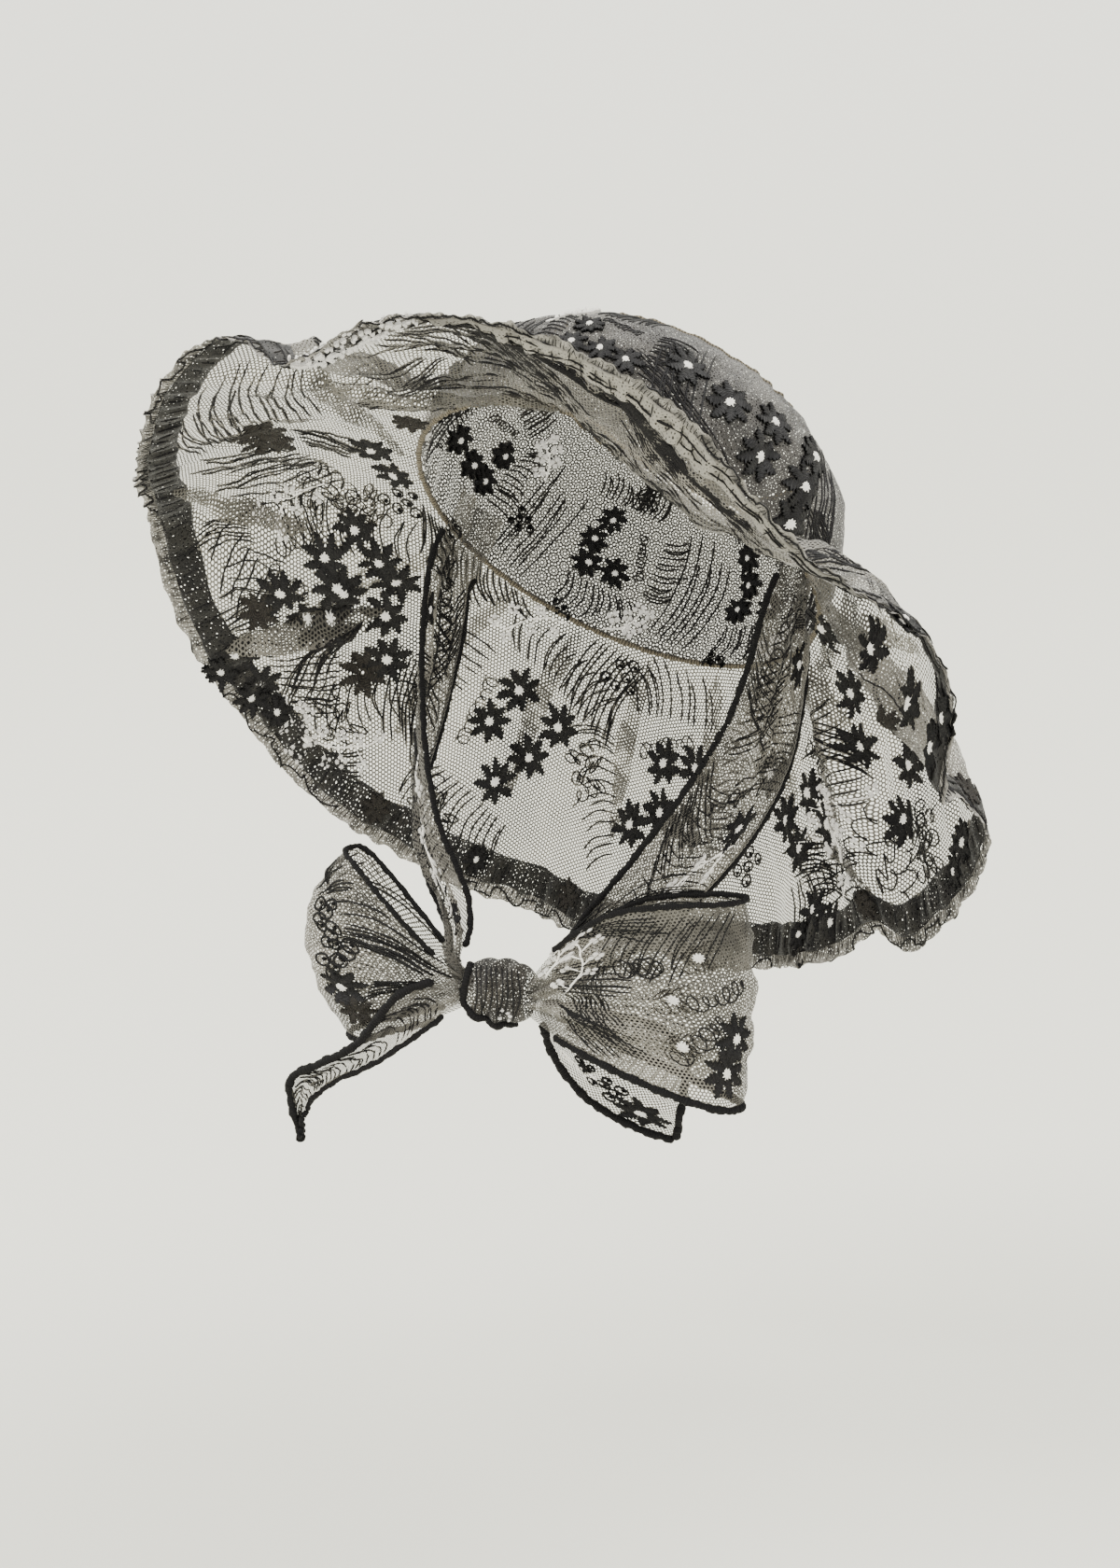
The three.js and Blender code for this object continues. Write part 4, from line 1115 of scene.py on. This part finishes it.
for k in range(hemLook["stitches"]):
    # Gathering stitches across the band, and overlock stitches over the lip
    turn = 2 * math.pi * k / hemLook["stitches"]
    slant = chance.uniform(*hemLook["slant"])
    inner, outer = chance.uniform(*hemLook["inner"]), chance.uniform(*hemLook["outer"])
    if k % 2:
        colour = "grey" if k % 4 == 1 else "black"
        hemWorks[k // 2 % 2].stroke(colour, hemLine(turn, inner, slant, outer - inner, 5), 0.3, 0)
    bite = chance.uniform(*hemLook["bite"])
    colour = "black" if math.sin(9 * turn) + math.sin(4 * turn) > -.9 else "grey"
    lipWork.stroke(colour, hemLine(turn, wholeBrim - 1.5, slant + .004, bite + 1, 4), 0.3, 0.1)
for k in range(hemLook["longStitches"]):
    # Long stitches that run on from the front of the brim over the band
    turn, away = math.radians(-30 + 4 * k), chance.uniform(*hemLook["inner"])
    hemWorks[k % 2].stroke("black", hemLine(turn, away, .26, 7, 18, lambda s: 1.2 * math.sin(5 * s + k)), 0.4, 0)
for startAngle in range(-180, 180, 20):
    # Looper thread that wanders along the lip's edge
    angles = np.radians(np.linspace(startAngle, startAngle + 20.5, 150))
    wander = wholeBrim + 3.2 + 1.9 * np.sin(71 * angles * (1 + .1 * math.sin(startAngle)))
    wander = wander + .8 * np.sin(173 * angles)
    line = np.stack(hemPlaces(angles + .008 * np.sin(140 * angles), wander), -1)
    lipWork.stroke("black", line, 0.38, 0.5 if startAngle % 40 else -0.5)


def repeat(work, middle, heading, reach=1.0, flowers=5):
    # One repeat of the lace: a spray of flowers, two feathers, scribbles, a twig and rings
    spin = turned(heading)

    def at(x, y):
        return np.asarray(middle, float) + np.array([x, y]) * reach @ spin

    for k in range(flowers):
        x, y = -18 + 20 * (k % 3) + chance.uniform(-3, 3), -14 + 24 * (k // 3) + chance.uniform(-4, 4)
        flower(work, at(x, y), 12 * reach, chance.uniform(0, 1))
    comb(work, at(32, -32), at(34, 26), at(50, -44), at(62, 30), 13, .2)
    comb(work, at(-32, 30), at(-30, -26), at(-52, 40), at(-56, -34), 12, -.2)
    comb(work, at(-26, 32), at(22, 36), at(-22, 58), at(30, 62), 10, .12)
    scribble(work, at(-14, 26), at(20, 18), 8, 3 * reach)
    squiggle(work, at(52, 8), 20 * reach, 26 * reach, rows=5)
    sprig(work, at(-60, 14), at(-34, 38), 6, 8 * reach)
    scrolls(work, at(-62, -20), 6, 10 * reach, 2.6 * reach)


backRepeats = {"degrees": (152, 187, 222, 257), "away": 154, "lean": .2, "reach": .95}
for degrees in backRepeats["degrees"]:
    angle, away = math.radians(degrees), backRepeats["away"]
    middle = (away * math.sin(angle), -away * math.cos(angle))
    repeat(brimWork, middle, -angle + backRepeats["lean"], backRepeats["reach"])
hemFinder = Finder(brimCloth, ringPlaces(root + 113, root + 126, 1400, 10))
hemBlossoms = [
    (316, 394), (324, 386), (333, 380), (338, 390), (347, 386), (350, 374), (358, 380), (366, 376), (370, 364),
    (378, 370), (386, 366), (392, 356), (399, 363), (406, 356), (412, 350), (420, 354), (428, 348), (436, 344),
]
hemFlowers = [(238, 719), (268, 748), (1000, 800), (1010, 770), (955, 690), (1030, 900)]
for px, py in hemBlossoms:
    for work in hemWorks:
        blossom(work, hemFinder.at(px, py), 2.4)
for px, py in hemFlowers:
    for work in hemWorks:
        flower(work, hemFinder.at(px, py), 8.5, chance.uniform(0, 1))
for degrees in range(100, 270, 17):
    place, black = np.array(hemPlaces(math.radians(degrees), 118)), bool(degrees % 2)
    for work in hemWorks:
        flower(work, place, 7.5, chance.uniform(0, 1), "black" if black else "grey", centre=black)
hemThreads = []
for label, work in (("hem_upper", hemWorks[0]), ("hem_lower", hemWorks[1]), ("hem_lip", lipWork)):
    hemThreads += work.sew(label, "black_edging")
brimThreads = brimWork.sew("brim", "black_edging")
print("brim embroidered")

crownWork = ThreadWork(crownSideCloth, 0.8)
sideTop = crownLook["sideHeight"]
crownFind = Finder(crownSideCloth, boxPlaces((-np.pi * root, 2), (np.pi * root, sideTop - 2), 500, 50))
crownFlowers = [(735, 392), (780, 432), (830, 453), (812, 489), (872, 490), (860, 521), (845, 560)]
crownCombs = [
    ((650, 372), (690, 372), (760, 500), (790, 540), 7, .06),
    ((862, 540), (884, 550), (868, 596), (888, 596), 7, .06),
]
for px, py in crownFlowers:
    flower(crownWork, crownFind.at(px, py), 10.6, chance.uniform(0, 1))
crownRepeats = {"every": 84, "shift": 20, "height": 38, "reach": 0.62, "flowers": 4, "leftOut": (60, 200)}
for k in range(-3, 4):
    # Repeats round the crown, but for the side that the photograph shows
    along = k * crownRepeats["every"]
    place = (along + crownRepeats["shift"], crownRepeats["height"])
    if not crownRepeats["leftOut"][0] < place[0] < crownRepeats["leftOut"][1]:
        repeat(crownWork, place, math.pi / 2 * (k % 2), crownRepeats["reach"], crownRepeats["flowers"])
    comb(crownWork, (along - 30, 4), (along - 8, 6), (along - 40, 52), (along - 12, 60), 7, .08)
combsAt(crownWork, crownFind.at, crownCombs)
crownThreads = crownWork.sew("crown_side", "black_edging")

tipWork = ThreadWork(crownTipCloth)
repeat(tipWork, (0, 0), .4, 0.62, 6)
for angle in np.linspace(0, 2 * np.pi, 7)[:-1]:
    start = toward(angle)
    comb(tipWork, start * 24, start @ turned(.7) * 30, start * 56, start @ turned(.6) * 60, 9, .12)
tipThreads = tipWork.sew("crown_tip", "black_edging")
print("crown embroidered")


def embroiderTie(work, find):
    for k in range(7):
        x = 26 + k * 29
        low, high = (-40, 6) if k % 2 == 0 else (40, -6)
        comb(work, (x, low), (x + 27, low), (x + 16, high), (x + 46, high), 9, .14)
        if k % 2:
            flower(work, (x + 14, -22), 9, k)
    comb(work, (30, -14), (90, 0), (50, 26), (112, 34), 14, -.12)
    comb(work, (120, 30), (180, 24), (110, -6), (176, -16), 14, .12)
    scribble(work, (40, 10), (90, 28), 9, 3.2)
    scribble(work, (110, -20), (130, 20), 7, 3.0)
    sprig(work, (130, -30), (176, -6), 7, 8)


leftLoopCombs = [
    ((660, 990), (790, 974), (640, 1052), (758, 1058), 12, .1),
    ((596, 1084), (640, 1058), (640, 1128), (694, 1126), 10, .2),
    ((600, 1060), (650, 1030), (650, 1098), (690, 1104), 9, .2),
    ((610, 1010), (640, 990), (700, 1010), (720, 980), 7, .1),
    ((590, 1040), (600, 1064), (660, 1020), (680, 1070), 8, .1),
    ((596, 1072), (606, 1084), (690, 1112), (680, 1136), 7, .1),
]
rightLoopCombs = [
    ((394, 912), (388, 962), (352, 926), (348, 964), 8, -.12),
    ((368, 984), (402, 950), (486, 1042), (492, 1028), 9, .05),
    ((360, 1010), (372, 990), (470, 1052), (480, 1044), 7, .05),
    ((400, 1050), (384, 1078), (470, 1056), (466, 1066), 6, .05),
]


def backCombs(work, find, marks):
    # Fine combs on a loop's far layer, which show through the near one
    for mark in marks:
        middle = find.at(*mark, far=True)
        corners = (middle + corner for corner in ((-12, -16), (-12, 14), (16, -14), (16, 16)))
        comb(work, *corners, 7, .12, radius=.28)


def embroiderLeftLoop(work, find):
    for px, py, size in ((779, 1150, 12.5), (790, 1112, 12)):
        flower(work, find.at(px, py), size, chance.uniform(0, 1))
    for px, py in ((721, 1072), (733, 1122), (747, 1026)):
        eyeOf(work, find.at(px, py), 2.6)
        squiggle(work, find.at(px, py), 12, 12, "grey", .3, 3)
    combsAt(work, find.at, leftLoopCombs, radius=.42)
    scribble(work, find.at(664, 1040), find.at(708, 1036), 6, 4.2, radius=.45)
    scribble(work, find.at(726, 1138), find.at(776, 1092), 7, 3.6, radius=.42)
    scribble(work, find.at(736, 1078), find.at(798, 1052), 6, 3.3, radius=.42)
    sprig(work, find.at(604, 1066), find.at(612, 1008), 8, 8)
    sprig(work, find.at(584, 1050), find.at(598, 1018), 5, 6)
    backCombs(work, find, ((620, 1000), (700, 975), (700, 1100), (640, 1110)))


def embroiderRightLoop(work, find):
    flower(work, find.at(365, 1058), 11, .3)
    flower(work, find.at(383, 1085), 9, .8, "grey", centre=False)
    for middle in ((345, 975), (350, 1000), (365, 1020), (352, 1035)):
        scrolls(work, find.at(*middle), 4, 6, 3.1)
    combsAt(work, find.at, rightLoopCombs, radius=.42)
    backCombs(work, find, ((380, 950), (410, 1010), (390, 1060)))


def embroiderLeftTail(work, find):
    flower(work, find.at(687, 1192), 12, .3)
    scrolls(work, find.at(654, 1168), 7, 9, 2.5)
    scrolls(work, find.at(626, 1142), 4, 5, 2.0)
    scribble(work, find.at(600, 1125), find.at(640, 1160), 5, 3, "cream")


def embroiderRightTail(work, find):
    for k in range(4):
        x = 22 * k
        comb(work, (12 + x, -38), (32 + x, -38), (22 + x, 34), (42 + x, 34), 8, .12)


embroiderers = {"tie_left": embroiderTie, "tie_right": embroiderTie, "loop_left": embroiderLeftLoop,
                "loop_right": embroiderRightLoop, "tail_left": embroiderLeftTail, "tail_right": embroiderRightTail}
for name, strip in strips.items():
    work = ThreadWork(strip["cloth"])
    find = Finder(strip["cloth"], boxPlaces((6, -43), (strip["length"] - 2, 43), 200, 50))
    embroiderers[name](work, find)
    work.sew(name, "black_edging")
print("ties and bow embroidered")


# Rolled black edging: thick satin rope, uneven along its length
def rope(name, path, radius, material, turnsPerMm=0.22, sides=9, unevenness=0.2):
    path = np.asarray(path, float)
    run = unit(np.gradient(path, axis=0))
    side = unit(np.cross(run, np.array([.31, .52, .79])))
    other = np.cross(run, side)
    length = np.concatenate([[0], np.cumsum(np.linalg.norm(np.diff(path, axis=0), axis=1))])
    lumps = np.sin(length * .55) * .5 + np.sin(length * 1.37 + 1) * .35 + np.sin(length * 2.9 + 2) * .3
    size = radius * (1 + unevenness * lumps)
    size[[0, -1]] *= 0.5
    points, faces, uvs = tube(path, side, other, size, sides, mm,
                              ridge=lambda angle: 1 + 0.07 * np.cos(3 * angle + length * turnsPerMm * 2 * math.pi))
    return addMesh(name, points, faces, material, "stitch", uvs)


# Black rayon stitched over a rolled edge: dull, dense and evenly ribbed
blackEdging = threadFinish("black_rolled_edging", "#030303", "#0e0c0c", 0.0011, 0.85, 0.0)
edgingLook = {"outside": 0.8, "pointEvery": 0.7, "wobble": 0.25}
edgings = {}
halfCut = stripLook["width"] / 2
for name, strip in strips.items():
    start, end = strip["sides"]
    edgings[name] = []
    for edge, letter, radius in ((-halfCut, "a", strip["edges"][0]), (halfCut, "b", strip["edges"][1])):
        count = int(strip["length"] * (end - start) / edgingLook["pointEvery"])
        x = np.linspace(start, end, count) * strip["length"]
        rim, _ = clothAt(strip["cloth"], np.stack([x, np.full(count, edge)], -1))
        inside, _ = clothAt(strip["cloth"], np.stack([x, np.full(count, edge * .9)], -1))
        away = edgingLook["outside"] + edgingLook["wobble"] * np.sin(x * .9 + edge) * np.sin(x * .37)
        path = rim + unit(rim - inside) * away[:, None]
        piece = rope(f"{name}_rolled_edge_{letter}", path, radius, blackEdging)
        edgings[name].append(dress(piece, [f"{name}_edging_{letter}"]))
    if name.startswith("tail"):
        across = np.stack([np.full(40, strip["length"]), np.linspace(-halfCut, halfCut, 40)], -1)
        rim, _ = clothAt(strip["cloth"], across)
        inside, _ = clothAt(strip["cloth"], across * (.94, 1))
        path = rim + unit(rim - inside) * edgingLook["outside"]
        piece = rope(f"{name}_rolled_end", path, max(strip["edges"]), blackEdging)
        edgings[name].append(dress(piece, []))
print("edgings rolled")

# Seams: the turned root of the brim, and the ridge round the crown's tip
# Net folded into a narrow tape over the seam: a brownish ridge, with a painted highlight that makes it lighter on its
# ribs
seamThread = threadFinish("folded_seam_tape", "#3a352b", "#7d7462", 0.0014, 0.85, 0.1)
seamLook = {"points": 701, "rootRadius": 1.15, "tipRadius": .8, "turnsPerMm": 0.3, "sides": 8, "unevenness": 0.25}
seamTurn = np.linspace(-np.pi, np.pi, seamLook["points"])
rootLine = brimPoint(seamTurn, np.full(len(seamTurn), .2), .3 + .3 * np.sin(88 * seamTurn))
tipLine = crownSideCloth(seamTurn * root, np.full(len(seamTurn), sideTop - .3))
for name, points, radius in (("brim_root_seam", rootLine, seamLook["rootRadius"]),
                             ("crown_tip_seam", tipLine, seamLook["tipRadius"])):
    seam = rope(name, points, radius, seamThread, seamLook["turnsPerMm"], seamLook["sides"], seamLook["unevenness"])
    dress(seam, [])
print("seams sewn")

# Knot: net wrapped round the strips, gathered into folds, with an edging across its front
knotLook = {"folds": 3, "depth": 0.9, "columns": 61, "rows": 97, "full": 12.6, "narrow": 9.6,
            "cutAlong": 6e-4, "cutRound": 8e-4}


def knotPoint(along, angle):
    share = np.clip(along / knot["half"], -1, 1)
    radius = knotLook["full"] - (knotLook["full"] - knotLook["narrow"]) * np.abs(share) ** 2.6
    fold = np.sin(knotLook["folds"] * np.pi * share + 2.8 * np.sin(angle + .4) + 0.9 * np.sin(2 * angle + 1))
    crease = np.where(fold > 0, fold, fold * .5) * knotLook["depth"] + .35 * np.sin(11 * share + 3 * angle)
    size = radius + crease * (1 - share ** 4)
    return bowPoint(along, size * np.sin(angle) * (1 + .06 * np.sin(3 * angle)), size * np.cos(angle))


knotAlong, knotAngle = np.meshgrid(np.linspace(-knot["half"], knot["half"], knotLook["columns"]),
                                   np.linspace(0, 2 * np.pi, knotLook["rows"]), indexing="xy")
knotRows, knotColumns = knotLook["rows"] - 1, knotLook["columns"]
knotPoints = knotPoint(knotAlong[:-1].ravel(), knotAngle[:-1].ravel())
knotFaces, knotMarks = gridFaces(knotRows, knotColumns, closedRows=True)
knotUvs = [(column * knotLook["cutAlong"], row * knotLook["cutRound"]) for row, column in knotMarks]
knotWrap = addMesh("knot_wrap_net", knotPoints, knotFaces, tulleKnot, "cut", knotUvs)
dress(knotWrap, ["knot"])

# The edging across the knot runs down its end and over its front
knotEdge = {"points": 90, "from": .06, "to": .93, "start": -11.6, "wander": .8, "run": 19, "off": .7, "radius": 1.5}
edgeAngles = np.linspace(knotEdge["from"] * math.pi, knotEdge["to"] * math.pi, knotEdge["points"])
edgeShare = np.linspace(0, 1, knotEdge["points"])
edgeAlong = knotEdge["start"] + knotEdge["wander"] * np.sin(edgeShare * 7)
edgeAlong = edgeAlong + knotEdge["run"] * smooth(edgeShare, .5, 1) ** 1.5
edgeBase = knotPoint(edgeAlong, edgeAngles)
edgeOut = unit(edgeBase - bowPoint(edgeAlong, 0 * edgeAlong, 0 * edgeAlong))
edgePath = edgeBase + edgeOut * knotEdge["off"]
dress(rope("knot_rolled_edge", edgePath, knotEdge["radius"], blackEdging), [])
knotThreadWork = ThreadWork(lambda x, y: knotPoint(np.clip(x, -13, 13), y / 12))
for k in range(9):
    x, reach = -9 + 2.2 * k, 26 + 6 * math.sin(k * 2)
    line = [(x + 3.2 * math.sin(s * 3), 3 + s * reach) for s in np.linspace(0, 1, 14)]
    knotThreadWork.stroke("black", line, 0.48)
blossom(knotThreadWork, np.array([6.0, 25.0]), 2.0)
knotThreadWork.sew("knot", "black_edging")
print("knot tied")

# Each strip's finished width and hold are read here, and not used further
for name, strip in strips.items():
    width, held = strip["finished"], strip["held"]

# Plain pale floor that curves up behind, and soft studio light
stageLook = {"floor": -372, "behind": 1500, "front": 2600, "halfWidth": 3200, "curve": 900, "height": 3600}


def backdrop():
    profile = [(-stageLook["front"], 0.0)]
    for angle in np.linspace(0, math.pi / 2, 25):
        back = stageLook["behind"] + stageLook["curve"] * math.sin(angle)
        profile.append((back, stageLook["curve"] * (1 - math.cos(angle))))
    profile.append((stageLook["behind"] + stageLook["curve"], stageLook["height"]))
    forward = np.array([-math.sin(viewTurn), math.cos(viewTurn), 0])
    points = []
    for back, height in profile:
        for side in (-1, 1):
            place = forward * back + viewRight * side * stageLook["halfWidth"]
            points.append(place + upward * (stageLook["floor"] + height))
    faces = [(2 * n, 2 * n + 1, 2 * n + 3, 2 * n + 2) for n in range(len(profile) - 1)]
    # Matt paper on a roll, warm grey with the faintest mottling, painted whiter higher up as light that is brighter
    # there
    material, tree = newMaterial("pale_paper_backdrop")
    place = addNode(tree, "TexCoord").outputs["Object"]
    grain = addNode(tree, "TexNoise", None, Vector=place, Scale=1.2, Detail=3.0)
    height = addNode(tree, "SeparateXYZ", None, i0=place)
    # Painted light: the paper turns whiter with height
    rise = addNode(tree, "MapRange", None, Value=height.outputs[2], From_Min=-0.36, From_Max=1.3)
    low = addNode(tree, "MixRGB", None, i0=grain.outputs[0], i1=linear("#d6d5c9"), i2=linear("#dcdbd0"))
    tint = addNode(tree, "MixRGB", None, i0=rise.outputs[0], i1=low.outputs[0], i2=linear("#fbfbf9"))
    finishMaterial(tree, Base_Color=tint.outputs[0], Roughness=0.95, Specular_IOR_Level=0.1)
    addMesh("floor", points, faces, material, "cut", np.zeros((4 * len(faces), 2)))


backdrop()
# place in millimetres, size in metres, power in watts, colour
lights = {
    "key": ((-1500, -900, 2300), 1.6, 118, (1.0, .99, .965)),
    "fill": ((1900, -1300, 1100), 2.0, 38, (1.0, .99, .97)),
    "back": ((500, 1300, 2300), 2.2, 84, (1, .995, .97)),
}
air = {"colour": (1.0, 1.0, .97, 1), "strength": 1.5}
for place, size, power, warmth in lights.values():
    away = np.array(view["aim"]) - np.array(place, float)
    tiltAngle = math.atan2(math.hypot(away[0], away[1]), -away[2])
    turnAngle = math.atan2(away[1], away[0]) - math.pi / 2
    bpy.ops.object.light_add(type="AREA", location=tuple(np.array(place) * mm), rotation=(tiltAngle, 0, turnAngle))
    lamp = bpy.context.object.data
    lamp.size, lamp.energy, lamp.color = size, power, warmth
world = bpy.data.worlds.new("studio_air")
bpy.context.scene.world = world
world.use_nodes = True
background = world.node_tree.nodes["Background"]
background.inputs[0].default_value = air["colour"]
background.inputs[1].default_value = air["strength"]
print("stage lit")
